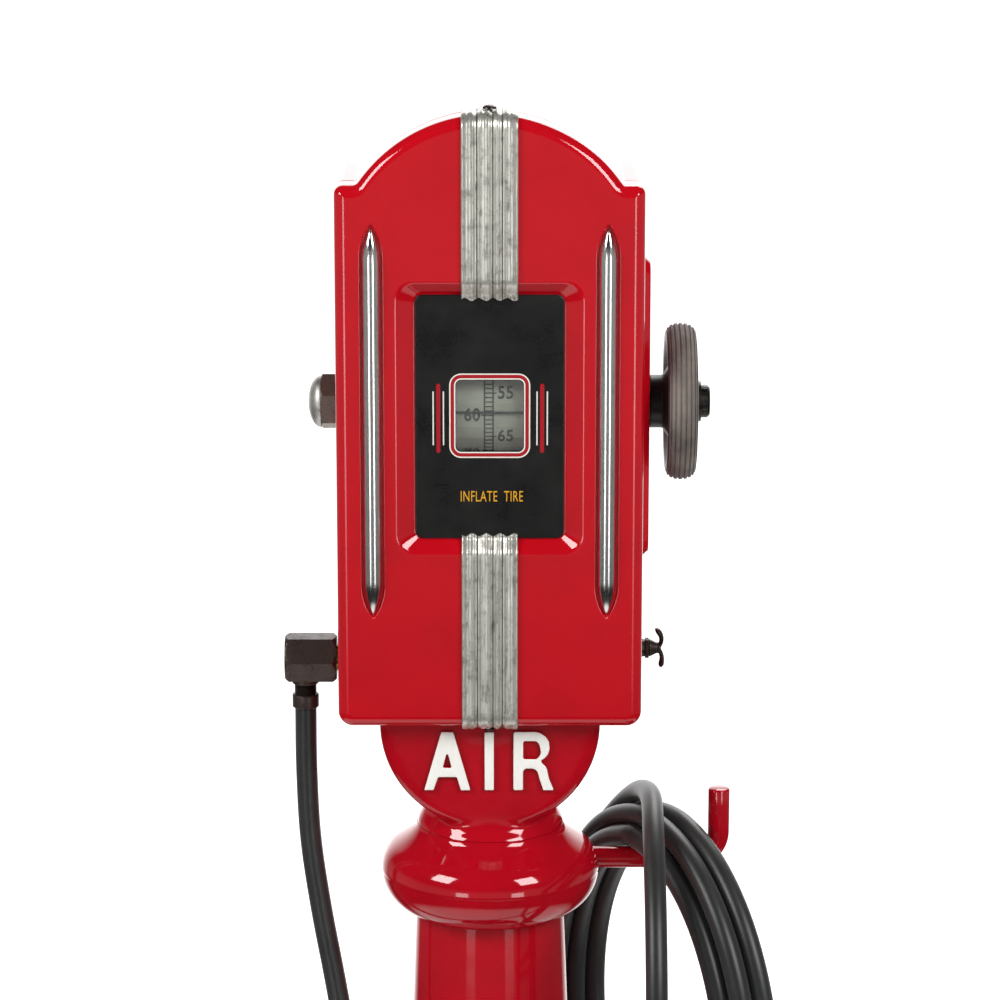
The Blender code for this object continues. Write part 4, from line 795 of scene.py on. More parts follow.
# Cut sheet rubber: brown black and flat, a dark line round the case.
sheet_rubber = rubber("black_sheet_rubber", "#26241F", "#17130F", 0.6, 0.002, 0.00003)
low, high = LIP - GASKET_T / 2, LIP + GASKET_T / 2
rings = [
    layer(y, case_outline(inset))
    for y, inset in ((low, 0.0042), (low, 0.0006), ((low + high) / 2, 0.0002), (high, 0.0006), (high, 0.0042))
]
bm = bmesh.new()
skin(bm, rings, closed=True)
place("rim_gasket", bm, sheet_rubber, "housing", "rubber", "case_gasket")


# ---------------------------------------------------------------- front cover
# The front half, drawn from one sheet: rounded edges, a sunk pan for the dial with sloping walls,
# and a shallow pointed groove each side for the bright spears. Gloss red enamel.

RECESS_HALF = (0.0725, 0.1072)
RECESS_DEPTH = 0.0095
RECESS_FLOOR = FRONT + RECESS_DEPTH
PLATE_HALF = (0.058, 0.0968)
WINDOW_Z = AXIS_Z + 0.00125
WINDOW_HALF = (0.0262, 0.02825)
SPEAR_X = 0.0915
SPEAR_W = 0.0142
SPEAR_LOW, SPEAR_HIGH = 0.093, 0.400
SPEAR_TAPER = 0.027
GROOVE_DEPTH = 0.002
SLAB_BACK = FRONT + 0.0150        # the back of the cover's thick front
GLASS_GAP = 0.0038                # how much the hole is larger than the window


def spear_outline(side, margin, count=16):
    """The outline of a pointed bar, grown by margin, and the height of each of its points."""
    low, high = SPEAR_LOW - 1.6 * margin, SPEAR_HIGH + 1.6 * margin
    width = SPEAR_W + 2 * margin
    taper = [SPEAR_TAPER * (i / count) ** 1.6 for i in range(1, count + 1)]
    stations = [low + t for t in taper] + [low + (high - low) * i / 12 for i in range(2, 11)]
    stations += [high - t for t in taper[::-1]]
    half = [width / 2 * sin(pi / 2 * min(1.0, min(z - low, high - z) / SPEAR_TAPER) ** 0.8) for z in stations]
    centre = SPEAR_X * side
    right = [(centre + w, CASE_Z + z) for w, z in zip(half, stations)]
    left = [(centre - w, CASE_Z + z) for w, z in zip(half, stations)]
    return [(centre, CASE_Z + low)] + right + [(centre, CASE_Z + high)] + left[::-1]


bm = bmesh.new()
seam = LIP - GASKET_T / 2 - SEAM
rings = [
    layer(SLAB_BACK, case_outline(WALL + LIP_IN)), layer(SLAB_BACK + 0.002, case_outline(WALL)),
    layer(seam, case_outline(WALL - 0.0004)), layer(seam, case_outline(LIP_BREAK[1])),
    layer(seam - 0.0003, case_outline(LIP_BREAK[0])), layer(seam - 0.0010, case_outline()),
]
for i in range(15):
    angle = radians(90 * i / 14)
    rings.append(layer(FRONT + EDGE_R * (1 - sin(angle)), case_outline(EDGE_R * (1 - cos(angle)))))
body_rings = skin(bm, rings)

# The dial pan: a soft roll at its rim, a sloping wall and a small radius at its floor.
wall_run = (RECESS_HALF[0] - PLATE_HALF[0], RECESS_HALF[1] - PLATE_HALF[1])
steep = RECESS_DEPTH / wall_run[0]
pan_line = filleted([(-0.45, 0.0, 0), (0.0, 0.0, 0.45), (0.92, steep, 0.16), (1.15, steep, 0)], 9)
rings = []
for run, drop in pan_line:
    half = (RECESS_HALF[0] - run * wall_run[0], RECESS_HALF[1] - run * wall_run[1])
    outline = rounded_rectangle(half, 0.0145 - 0.0070 * max(0, run), (0, AXIS_Z))
    rings.append(layer(FRONT + drop * wall_run[0], outline))
pan_rings = skin(bm, rings)
glass_hole = rounded_rectangle([half + GLASS_GAP for half in WINDOW_HALF], 0.006, (0, WINDOW_Z), 4)
hole_rings = skin(bm, [layer(RECESS_FLOOR, glass_hole), layer(SLAB_BACK, glass_hole)])
groove_wall = ((0.0026, 0.0), (0.0020, 0.0001), (0.0016, 0.0005), (0.0014, 0.0012), (0.0011, GROOVE_DEPTH))
groove_rims = []
for side in (-1, 1):
    groove = skin(bm, [layer(FRONT + drop, spear_outline(side, margin)) for margin, drop in groove_wall])
    groove_rims.append(groove[0])
    fill_between(bm, [groove[-1]])
fill_between(bm, [body_rings[-1], pan_rings[0]] + groove_rims)
fill_between(bm, [pan_rings[-1], hole_rings[0]])
fill_between(bm, [body_rings[0], hole_rings[-1]])
place("case_front", bm, pressed_enamel, "housing", "red_enamel", "front_cover", sharp=60, weighted=True)


# ---------------------------------------------------------------- cover screws
# Four cheese-head steel screws go in from the back and draw the two halves together. Each has a
# turned head with a broken edge and a sawn slot.


SHANK_R = 0.0022
SLOT_WIDE, SLOT_DEEP = 0.0011, 0.0011


def slotted_screw(name, head, length, at, axis, turn, finish, slot, *nodes):
    """A screw with a sawn slot. head is its (radius, height) line from the centre of its top out."""
    bm = turned(head + [(SHANK_R, head[-1][1]), (SHANK_R, -length), (0, -length)], steps=48)
    bmesh.ops.recalc_face_normals(bm, faces=bm.faces)
    blank_mesh = bpy.data.meshes.new("screw_blank")
    bm.to_mesh(blank_mesh)
    bm.free()
    blank = link_object("screw_blank", blank_mesh)
    blade = Matrix.Rotation(turn, 4, "Z") @ Matrix.Diagonal((head[-1][0] * 2.4, SLOT_WIDE, 2 * SLOT_DEEP, 1))
    saw = bmesh.new()
    bmesh.ops.create_cube(saw, size=1, matrix=blade)
    bmesh.ops.translate(saw, verts=saw.verts, vec=(0, 0, head[0][1]))
    bm = bmesh.new()
    bm.from_mesh(cut_away(blank, saw))
    bpy.data.objects.remove(blank)
    spin = {"Z": Matrix(), "-Z": Matrix.Rotation(pi, 4, "X"), "Y": Matrix.Rotation(-pi / 2, 4, "X")}[axis]
    bmesh.ops.transform(bm, matrix=Matrix.Translation(at) @ spin, verts=bm.verts)
    return place(name, bm, finish, "housing", slot, *nodes, sharp=30)


# Steel blacked in hot oil: dark, half dull, brown at its worn places.
blackened = metal("oil_blackened_steel", "#4A4743", "#2C2A28", 0.38, 0.0015, 0.00001)
boss_x = SIDE - WALL - 0.006      # the screws stand in bosses against the side walls
screw_places = [(side * boss_x, z) for side in (-1, 1) for z in (CASE_Z + 0.011, SHOULDER_Z - 0.015)]
cheese = filleted([(0, 0.0035, 0), (0.005, 0.0035, 0.0009), (0.005, SEAM, 0)], 5)
for i, (x, z) in enumerate(screw_places):
    slotted_screw(f"case_screw_{i + 1}", cheese, 0.118, (x, BACK, z), "Y", 0.4 + 1.1 * i, plated, "steel",
                  f"cover_screw_{i + 1}")


# ---------------------------------------------------------------- spears
# Half-round brass bar, pointed at both ends, nickel and chromium plated and buffed, pinned in the
# grooves from behind.

SPEAR_PROUD = 0.0055
# Buffed chromium: nearly a mirror, drawn out a little along the bar by the buffing wheel.
chrome = metal("buffed_chromium_plate", "#E4E4E2", "#D2D2D0", 0.16, 0.010, 0.000004, stretch=(3, 3, 0.15))
for side, name in ((-1, "left"), (1, "right")):
    back = FRONT + GROOVE_DEPTH - SEAM
    outline = spear_outline(side, 0.0, 20)
    half_count = (len(outline) - 2) // 2
    right = outline[1:1 + half_count]
    rings = [[Vector((SPEAR_X * side, back, outline[0][1]))]]
    for x, z in right:
        half = x - SPEAR_X * side
        height = (SPEAR_PROUD + GROOVE_DEPTH) * (2 * half / SPEAR_W) ** 0.75
        ring = []
        for k in range(25):
            angle = pi + pi * k / 24
            ring.append(Vector((SPEAR_X * side + half * cos(angle), back + height * sin(angle), z)))
        rings.append(ring)
    rings.append([Vector((SPEAR_X * side, back, outline[half_count + 1][1]))])
    bm = bmesh.new()
    skin(bm, rings)
    place(f"chrome_spear_{name}", bm, chrome, "housing", "chrome", f"spear_{name}", sharp=70)


# ---------------------------------------------------------------- dial plate
# A thin steel plate, black vitreous enamel fired on, silk-screened in white, red and yellow: a
# border round the window, three bars each side and two plain words. It lies in the sunk pan.

PLATE_T = 0.0012
PLATE_FRONT = RECESS_FLOOR - SEAM - PLATE_T
PLATE_CORNER_R = 0.006
WINDOW_CORNER_R = 0.004
INK = 0.00008                     # how proud the ink stands


def ink(name, light, dark):
    """Screened enamel ink: flat colour, satin, thinned in specks where the plate was rubbed."""
    made, tree = bare_material(name)
    space = add(tree, "TexCoord").outputs["Object"]
    rub = add(tree, "TexNoise", {"Vector": space, "Scale": 1 / 0.0012, "Detail": 4.0, "Roughness": 0.7})
    tone = add(tree, "ValToRGB", {0: rub.outputs["Fac"]}, [(0.28, dark), (0.40, light)])
    film = add(tree, "BsdfPrincipled", {"Base Color": tone.outputs[0], "Roughness": 0.35, "IOR": 1.5})
    add(tree, "OutputMaterial", {"Surface": film.outputs[0]})
    return made


# Fired black enamel: deep and glassy, gone hazy in patches, with grey specks of chipping.
plate_black, tree = bare_material("black_vitreous_enamel")
space = add(tree, "TexCoord").outputs["Object"]
cloud = add(tree, "TexNoise", {"Vector": space, "Scale": 1 / 0.030, "Detail": 6.0, "Roughness": 0.65})
speck = add(tree, "TexNoise", {"Vector": space, "Scale": 1 / 0.0011, "Detail": 2.0})
tone = add(tree, "ValToRGB", {0: cloud.outputs["Fac"]}, [(0.35, "#0A0A0A"), (0.70, "#151514")])
dusty = add(tree, "ValToRGB", {0: speck.outputs["Fac"]}, [(0.74, 0.0), (0.80, 0.35)])
colour = add(tree, "Mix", {0: dusty.outputs[0], 6: tone.outputs[0], 7: linear("#77736A")}, data_type="RGBA")
rough = add(tree, "MapRange", {0: cloud.outputs["Fac"], 1: 0.3, 2: 0.7, 3: 0.22, 4: 0.42})
ripple = add(tree, "Bump", {"Height": cloud.outputs["Fac"], "Distance": 0.00012, "Strength": 1.0})
film = add(tree, "BsdfPrincipled", {
    "Base Color": colour.outputs[2], "Roughness": rough.outputs[0], "IOR": 1.5, "Normal": ripple.outputs[0],
})
add(tree, "OutputMaterial", {"Surface": film.outputs[0]})


def plate_outline(inset):
    """The plate's edge, moved in."""
    return rounded_rectangle([half - inset for half in PLATE_HALF], PLATE_CORNER_R - inset, (0, AXIS_Z), 10)


def window_outline(grow):
    """The edge of the plate's window, moved out."""
    return rounded_rectangle([half + grow for half in WINDOW_HALF], WINDOW_CORNER_R + grow, (0, WINDOW_Z))


bm = bmesh.new()
outer = skin(bm, [layer(PLATE_FRONT + back, plate_outline(inset))
                  for back, inset in ((PLATE_T, 0), (0.0005, 0), (0.0001, 0.0003), (0, 0.0008))])
inner = skin(bm, [layer(PLATE_FRONT + back, window_outline(grow))
                  for back, grow in ((0, 0.0006), (0.0002, 0.0001), (0.0005, 0), (PLATE_T, 0))])
fill_between(bm, [outer[-1], inner[0]])
fill_between(bm, [outer[0], inner[-1]])
place("dial_plate_enamelled", bm, plate_black, "housing", "black_enamel", "dial_plate", sharp=60,
      weighted=True)

# White, red and yellow screen inks: flat satin colour, yellowed or browned a little with age.
white_ink = ink("white_screen_ink", "#E8E6DD", "#9A978E")
red_ink = ink("red_screen_ink", "#A30D1B", "#7B0D16")
yellow_ink = ink("yellow_screen_ink", "#E0A21A", "#8F6A1C")


def raise_film(bm):
    """Lets a flat film's face stand where it is, and gives it edges that run into the plate."""
    grown = bmesh.ops.extrude_face_region(bm, geom=list(bm.faces))
    upper = [v for v in grown["geom"] if isinstance(v, bmesh.types.BMVert)]
    bmesh.ops.translate(bm, verts=upper, vec=(0, INK * 1.5, 0))


def printed(name, outline, hole, finish):
    """A film of ink between an outline and a hole in it, or over the whole outline."""
    bm = bmesh.new()
    made = skin(bm, [layer(PLATE_FRONT - INK, line) for line in (outline, hole) if line])
    if not hole:
        bm.faces.new(made[0])
    raise_film(bm)
    return place(name, bm, finish, "housing", "black_enamel", sharp=30)


# The window's border is three frames, one inside another, each from its outer to its inner edge.
for out, inn, name, finish in ((0.0053, 0.0043, "outer_white", white_ink), (0.0043, 0.0015, "red", red_ink),
                               (0.0015, 0.0005, "inner_white", white_ink)):
    printed(f"window_border_{name}", window_outline(out), window_outline(inn), finish)

# Each side has a red bar with round ends between two thinner, shorter white ones.
BARS = ((0, 0.0016, 0.0275, red_ink, "red"), (-0.0040, 0.0005, 0.0215, white_ink, "white_1"),
        (0.0040, 0.0005, 0.0215, white_ink, "white_2"))
for side, hand in ((-1, "left"), (1, "right")):
    centre = 0.0404 * side + 0.0004
    for offset, half_w, half_h, finish, name in BARS:
        outline = rounded_rectangle((half_w, half_h), half_w * 0.98, (centre + offset, WINDOW_Z - 0.0020), 5)
        printed(f"side_bar_{name}_{hand}", outline, None, finish)


def words(name, text, size, squeeze, weight=0.0):
    """Plain lettering as a flat mesh centred on the origin, facing up."""
    font = bpy.data.curves.new(name, "FONT")
    font.body = text
    font.size = size
    font.align_x = "CENTER"
    font.align_y = "CENTER"
    font.space_character = 1.08
    font.offset = weight
    font.resolution_u = 4
    bm = shape_of(name + "_type", font, 0.000001)
    bmesh.ops.scale(bm, vec=(squeeze, 1, 1), verts=bm.verts)
    return bm


WORDS_AT = (0.0015, PLATE_FRONT - INK, 1.0605)
bm = words("plate_words", "INFLATE  TIRE", 0.0122, 0.60)
bmesh.ops.transform(bm, matrix=Matrix.Translation(WORDS_AT) @ Matrix.Rotation(pi / 2, 4, "X"), verts=bm.verts)
raise_film(bm)
place("plate_words_yellow", bm, yellow_ink, "housing", "black_enamel", sharp=30)


# ---------------------------------------------------------------- window glass and index wire
# A flat pane of 2 mm glass lies behind the plate's window, and a black wire is stretched across the
# case behind it: the pressure is read under the wire.

# Drawn sheet glass: clear and glossy with a trace of dust. Shadow and bounced light pass straight
# through it, as they do through a thin pane.
pane, tree = bare_material("window_sheet_glass")
space = add(tree, "TexCoord").outputs["Object"]
film_dust = add(tree, "TexNoise", {"Vector": space, "Scale": 1 / 0.012, "Detail": 6.0, "Roughness": 0.7})
dull = add(tree, "MapRange", {0: film_dust.outputs["Fac"], 1: 0.35, 2: 0.75, 3: 0.0, 4: 0.012})
film = add(tree, "BsdfPrincipled", {
    "Base Color": linear("#F4F8F6"), "Roughness": dull.outputs[0], "IOR": 1.5, "Transmission Weight": 1.0,
})
see = add(tree, "BsdfTransparent", {"Color": linear("#EEF2F0")})
rays = add(tree, "LightPath")
passing = add(tree, "Math", {0: rays.outputs["Is Shadow Ray"], 1: rays.outputs["Is Diffuse Ray"]},
              operation="MAXIMUM")
mixed = add(tree, "MixShader", {0: passing.outputs[0], 1: film.outputs[0], 2: see.outputs[0]})
add(tree, "OutputMaterial", {"Surface": mixed.outputs[0]})
refinish(pane, "window_glass")
# Lacquered wire: black and quite matt, so that it reads as one thin line.
black_wire = rubber("matt_black_wire_lacquer", "#0B0B0A", "#070707", 0.9, 0.001, 0.00001)
refinish(black_wire, "index_wire")


# ---------------------------------------------------------------- straps
# Two cast aluminium straps, ribbed, beaten down over the case's edges and screwed on at the top and
# underneath. Long out of doors, they are dull, pitted and a little dented.

STRAP_W = 0.044
STRAP_T = 0.0026
STRAP_EDGE_R = 0.0016
STRAP_GROOVES = (                 # where each is across the strap, its half width and its depth
    (-0.0165, 0.0016, 0.0004), (-0.0098, 0.0032, 0.0016), (-0.0038, 0.0016, 0.0005),
    (0.0024, 0.0028, 0.0015), (0.0098, 0.0032, 0.0016), (0.0160, 0.0016, 0.0004),
)
DENT = 0.00035                    # how deep the straps are dented


def weathered(name, light, dark, metallic):
    """Old aluminium: tarnish in patches of 9 mm, dark pits of 1.5 mm, and streaks run down by rain."""
    made, tree = bare_material(name)
    space = add(tree, "TexCoord").outputs["Object"]
    laid = add(tree, "Mapping", {"Vector": space, "Scale": (1.0, 1.0, 0.10)})
    patch = add(tree, "TexNoise", {"Vector": space, "Scale": 1 / 0.009, "Detail": 5.0, "Roughness": 0.65})
    streak = add(tree, "TexNoise", {"Vector": laid.outputs[0], "Scale": 1 / 0.0018, "Detail": 3.0})
    both = add(tree, "Mix", {0: 0.40, 2: patch.outputs["Fac"], 3: streak.outputs["Fac"]}, data_type="FLOAT")
    tone = add(tree, "ValToRGB", {0: both.outputs[0]}, [(0.36, dark), (0.50, light)])
    pit = add(tree, "TexNoise", {"Vector": space, "Scale": 1 / 0.0015, "Detail": 2.0})
    pits = add(tree, "ValToRGB", {0: pit.outputs["Fac"]}, [(0.24, 0.8), (0.31, 0.0)])
    colour = add(tree, "Mix", {0: pits.outputs[0], 6: tone.outputs[0], 7: linear("#3B3934")},
                 data_type="RGBA")
    hollow = add(tree, "Math", {0: both.outputs[0], 1: pits.outputs[0]}, operation="SUBTRACT")
    bump = add(tree, "Bump", {"Height": hollow.outputs[0], "Distance": 0.00016, "Strength": 1.0})
    rough = add(tree, "MapRange", {0: both.outputs[0], 1: 0.35, 2: 0.65, 3: 0.46, 4: 0.28})
    film = add(tree, "BsdfPrincipled", {
        "Base Color": colour.outputs[2], "Metallic": metallic, "Roughness": rough.outputs[0],
        "Normal": bump.outputs[0],
    })
    add(tree, "OutputMaterial", {"Surface": film.outputs[0]})
    return made


def strap_section(across):
    """How far the strap's face falls below its ribs at a distance across it."""
    edge = max(0.0, abs(across) - STRAP_W / 2 + STRAP_EDGE_R) / STRAP_EDGE_R
    height = -0.0010 * (1 - sqrt(max(0.0, 1 - edge * edge)))
    for groove, wide, deep in STRAP_GROOVES:
        near = max(0.0, 1 - ((across - groove) / wide) ** 2)
        height -= deep * near ** 1.1
    return height


def strap_line(way, face_z, top_length):
    """The underside of the upper (way 1) or lower (way -1) strap seen from the side, as (y, z), from its
    end on the plate: over the pan's wall, along the face, round the case's edge and on to its screw."""
    plate_y, face_y = PLATE_FRONT - SEAM, FRONT - SEAM
    line = filleted([
        (plate_y, AXIS_Z + way * (PLATE_HALF[1] - 0.0035), 0), (plate_y, AXIS_Z + way * PLATE_HALF[1], 0.006),
        (face_y, AXIS_Z + way * RECESS_HALF[1], 0.006), (face_y, face_z, 0),
    ], 8)[:-1]
    roll = EDGE_R + SEAM
    for angle in range(0, 91, 9):
        line.append((face_y + roll - roll * cos(radians(angle)), face_z + way * roll * sin(radians(angle))))
    y, z = line[-1]
    return line + [(y + top_length * t / 6, z) for t in range(1, 7)]


def even_line(line, spacing):
    """The same line with its points at equal distances."""
    line = np.array([tuple(p) for p in line])
    far = np.concatenate([[0], np.cumsum(np.linalg.norm(np.diff(line, axis=0), axis=1))])
    at = np.linspace(0, far[-1], int(far[-1] / spacing) + 1)
    return np.stack([np.interp(at, far, line[:, k]) for k in range(line.shape[1])], axis=1)


# Bare cast aluminium, long outdoors: pale grey on its ribs, mottled and pitted, no longer bright.
old_aluminium = weathered("weathered_cast_aluminium", "#CDCCC3", "#918E85", 0.75)
# Painted shade in the deep grooves: a darker, duller copy of the aluminium, which reads as dark lines between
# the ribs.
groove_painted_shade = weathered("painted_shade_in_cast_grooves", "#5E5B54", "#34322D", 0.25)
shaded_grooves = [groove for groove, wide, deep in STRAP_GROOVES if deep > 0.001]
SHADE_HALF_W = 0.0008
arch_from = CASE_Z + CASE_H - EDGE_R * 1.3
for name, node, way, face_z, top_length in (
    ("strap_above", "strap_upper", 1, CASE_Z + CASE_H - EDGE_R, 0.022),
    ("strap_below", "strap_lower", -1, CASE_Z + EDGE_R, 0.009),
):
    fine = [Vector(p) for p in even_line(strap_line(way, face_z, top_length), 0.0022)]
    columns = [-STRAP_W / 2 + STRAP_W * k / 72 for k in range(73)]
    top_rows, under_rows = [], []
    for i, p in enumerate(fine):
        ahead = (fine[min(i + 1, len(fine) - 1)] - fine[max(i - 1, 0)]).normalized()
        out = Vector((-ahead.y, ahead.x)) * way
        top_row, under_row = [], []
        for x in columns:
            # The arch falls away to the sides, and the strap follows it where it lies on top.
            on_top = min(1.0, max(0.0, (p.y - arch_from) / EDGE_R)) if way > 0 else 0.0
            fall = (ARCH_R - sqrt(ARCH_R ** 2 - x * x)) * on_top
            dent = DENT * noise.noise(Vector((x * 60, p.y * 45, way * 3.0)))
            proud = STRAP_T + strap_section(x) + dent * (1 if abs(x) < STRAP_W / 2 - 0.001 else 0.3)
            # Its end on the plate is cut wavy, as the ribs run out.
            shift = 0.0012 * sin(x * tau / 0.011) + 0.0004 if i == 0 else 0.0
            a = p + out * proud + ahead * shift
            b = p + ahead * shift
            top_row.append(Vector((x, a.x, a.y - fall)))
            under_row.append(Vector((x, b.x, b.y - fall)))
        top_rows.append(top_row)
        under_rows.append(under_row)
    bm = bmesh.new()
    skin(bm, [top + under[::-1] for top, under in zip(top_rows, under_rows)])
    ends = list(bm.verts)
    per_ring = 2 * len(columns)
    for start in (0, len(ends) - per_ring):
        ring = ends[start:start + per_ring]
        for k in range(len(columns) - 1):
            bm.faces.new((ring[k], ring[k + 1], ring[per_ring - 2 - k], ring[per_ring - 1 - k]))
    # Faces along the middle of each deep groove take the darker copy: painted shade between the ribs.
    for face in bm.faces:
        nearest = min(abs(face.calc_center_median().x - groove) for groove in shaded_grooves)
        face.material_index = 1 if nearest < SHADE_HALF_W else 0
    place(name, bm, [old_aluminium, groove_painted_shade], "housing", "cast_zinc", node, sharp=50)

pan_head = filleted([(0, 0.0031, 0), (0.0030, 0.0029, 0.004), (0.0052, 0.0018, 0.0012), (0.0055, SEAM, 0)], 5)
slotted_screw("strap_screw_above", pan_head, 0.010, (0, -0.055, CASE_Z + CASE_H + SEAM + STRAP_T), "Z", 0.5,
              blackened, "steel", "strap_top_screw")
small_head = [(r * 0.004 / 0.0055, h) for r, h in pan_head]
slotted_screw("strap_screw_below", small_head, 0.010, (0, FRONT + 0.0143, CASE_Z - SEAM - STRAP_T), "-Z", 0.9,
              blackened, "steel", "strap_bottom_screw")


# ---------------------------------------------------------------- control shaft and handwheel
# A steel shaft turns in a brass bushing in the right wall. The wheel is a disc of hard rubber,
# dished on its inner side, its tread grooved for the hand and bleached grey by the sun.

WHEEL_R = 0.062
WHEEL_X = (0.139, 0.163)          # the tread's inner and outer edge
WHEEL_BORE_R = 0.006 + SEAM
HUB_X = 0.1265
TREAD_FALL = 0.0080               # how far the tread curves down to its edges
TREAD_GROOVES, TREAD_GROOVE_DEPTH = 9, 0.0012
# Turned brass bar: dull yellow with tool rings, browned a little.
brass_bar = metal("turned_brass", "#B79A5B", "#8A7141", 0.30, 0.0010, 0.00001)
# Ground steel: plain and bright, its grinding marks almost too fine to see.
bright_steel = metal("ground_steel", "#B9B9B6", "#9A9A97", 0.22, 0.0008, 0.000006)
refinish(brass_bar, "shaft_bushing")
refinish(bright_steel, "control_shaft")
# Hard rubber bleached by the sun: grey brown and chalky on the tread, still black on the hub.
tread_rubber = rubber("bleached_hard_rubber_tread", "#7C726B", "#4E4641", 0.75, 0.0011, 0.00012)
hub_rubber = rubber("black_hard_rubber", "#1F1B19", "#120F0E", 0.38, 0.0016, 0.00003)
inner, outer = WHEEL_X
tread = []
for k in range(73):
    t = k / 72
    around = pi * (1 - t)
    across = (inner + outer) / 2 + (outer - inner) / 2 * 0.985 * cos(around)
    crown = WHEEL_R - TREAD_FALL * (1 - sin(around)) ** 1.15
    groove = TREAD_GROOVE_DEPTH * max(0.0, cos(tau * TREAD_GROOVES * t)) ** 0.6 if 0.02 < t < 0.98 else 0.0
    tread.append((crown - groove, across))
hub_side = filleted([
    (WHEEL_BORE_R, HUB_X, 0), (0.021, HUB_X, 0.001), (0.021, inner - 0.002, 0.003),
    (0.030, inner + 0.0035, 0.006), (0.043, inner + 0.0040, 0.005), (0.050, inner + 0.0006, 0.003),
    (WHEEL_R - TREAD_FALL, inner + 0.0002, 0),
])
face_side = filleted([
    (WHEEL_R - TREAD_FALL, outer - 0.0002, 0), (0.050, outer - 0.0004, 0.003), (0.044, outer - 0.0030, 0.005),
    (0.024, outer - 0.0032, 0.005), (0.0215, outer + 0.0019, 0.001), (WHEEL_BORE_R, outer + 0.0019, 0),
])
bm = turned(hub_side + tread + face_side, "X", (0, 0, AXIS_Z), 160, closed=True)
for vert in bm.verts:
    out = Vector((0, vert.co.y, vert.co.z - AXIS_Z))
    if out.length > WHEEL_R - 0.006:
        wear = 0.00022 * noise.noise(Vector((vert.co.x * 160, vert.co.y * 90, vert.co.z * 90)))
        vert.co += out.normalized() * wear
bm.normal_update()
for face in bm.faces:
    middle = face.calc_center_median()
    far = Vector((0, middle.y, middle.z - AXIS_Z)).length
    face.material_index = 0 if far > WHEEL_R - 0.0045 else 1
place("handwheel_moulded", bm, [tread_rubber, hub_rubber], "setting_wheel", "grip_rubber", "handwheel",
      sharp=40)
refinish(blackened, "wheel_washer", "wheel_cap_nut")


# ---------------------------------------------------------------- dial drum
# A spun aluminium drum on the shaft, painted pale grey-green, with the pressure scale printed round
# it in black: a ladder with a rung for every pound, ten pounds on the left and fives on the right.

DRUM_R = 0.054
PER_POUND = radians(3.714) * DRUM_R           # how far apart the rungs are, round the drum
AT_REST = 60
SCALE_PROUD = (-0.00006, 0.00010)              # the marks' back and face, from the drum's surface
RAILS = (-0.0041, 0.0026)
RAIL_HALF_W, RUNG_HALF_W = 0.0006, 0.00050
# Brushed drum paint: pale grey green gone the colour of old paper, nearly matt.
drum_paint, tree = bare_material("grey_green_drum_paint")
space = add(tree, "TexCoord").outputs["Object"]
cloud = add(tree, "TexNoise", {"Vector": space, "Scale": 1 / 0.020, "Detail": 4.0})
tone = add(tree, "ValToRGB", {0: cloud.outputs["Fac"]}, [(0.35, "#8A877C"), (0.65, "#9E9B90")])
film = add(tree, "BsdfPrincipled", {"Base Color": tone.outputs[0], "Roughness": 0.55, "IOR": 1.5})
add(tree, "OutputMaterial", {"Surface": film.outputs[0]})
refinish(drum_paint, "dial_drum")
# Screened black: soft edged and a little worn.
scale_ink = ink("black_scale_ink", "#141310", "#2A2824")


def wrapped(name, bm, finish):
    """Wraps flat marks, drawn as (x, arc length), round the drum, a hair proud of its paint."""
    long_edges = [e for e in bm.edges if e.calc_length() > 0.0030]
    bmesh.ops.subdivide_edges(bm, edges=long_edges, cuts=3)
    bmesh.ops.triangulate(bm, faces=list(bm.faces))
    grown = bmesh.ops.extrude_face_region(bm, geom=list(bm.faces))
    upper = {v for v in grown["geom"] if isinstance(v, bmesh.types.BMVert)}
    for vert in bm.verts:
        far = DRUM_R + SCALE_PROUD[vert in upper]
        angle = vert.co.y / DRUM_R
        vert.co = Vector((vert.co.x, -far * cos(angle), AXIS_Z + far * sin(angle)))
    return place(name, bm, finish, "setting_wheel", "drum_paint", sharp=30)


def bar(bm, x0, y0, x1, y1):
    """Adds a flat bar between two corners, cut across often enough to be wrapped."""
    steps = max(1, round((y1 - y0) / 0.003))
    rows = [[bm.verts.new((x, y0 + (y1 - y0) * i / steps, 0)) for x in (x0, x1)] for i in range(steps + 1)]
    for low_row, high_row in zip(rows, rows[1:]):
        bm.faces.new((low_row[0], low_row[1], high_row[1], high_row[0]))


# The numbers grow downward past the index wire, and 60 lies under it with the wheel at rest.
low_pound, high_pound = 10, 75
ladder = bmesh.new()
foot, head = ((AT_REST - pound) * PER_POUND for pound in (high_pound, low_pound))
for x in RAILS:
    bar(ladder, x - RAIL_HALF_W, foot, x + RAIL_HALF_W, head)
for pound in range(low_pound, high_pound + 1):
    at = (AT_REST - pound) * PER_POUND
    left = -0.0066 if pound % 10 == 0 else RAILS[0]
    right = 0.0052 if pound % 10 == 5 else RAILS[1]
    bar(ladder, left, at - RUNG_HALF_W, right, at + RUNG_HALF_W)
wrapped("drum_ladder", ladder, scale_ink)
for pound in range(low_pound, high_pound + 1, 5):
    figure = words(f"figure_{pound}", str(pound), 0.0142, 0.86, 0.00032)
    aside = -0.0138 if pound % 10 == 0 else 0.0124
    bmesh.ops.translate(figure, verts=figure.verts, vec=(aside, (AT_REST - pound) * PER_POUND, 0))
    wrapped(f"drum_figure_{pound}", figure, scale_ink)
# Phosphated strip: even mid grey with no shine.
phosphated = metal("phosphated_steel_strip", "#8E8F8B", "#6B6C69", 0.50, 0.002, 0.00002)
refinish(phosphated, "drum_bracket")
refinish(blackened, "bracket_screw")


# ---------------------------------------------------------------- regulator and its nut
# A brass spring regulator is screwed through the left wall and held by an acorn nut outside. Its
# parts move when the wheel sets the spring and when air passes the valve.

refinish(brass_bar, "regulator_body", "regulator_bonnet", "spring_follower", "spring_plate", "valve_poppet")
refinish(sheet_rubber, "diaphragm")
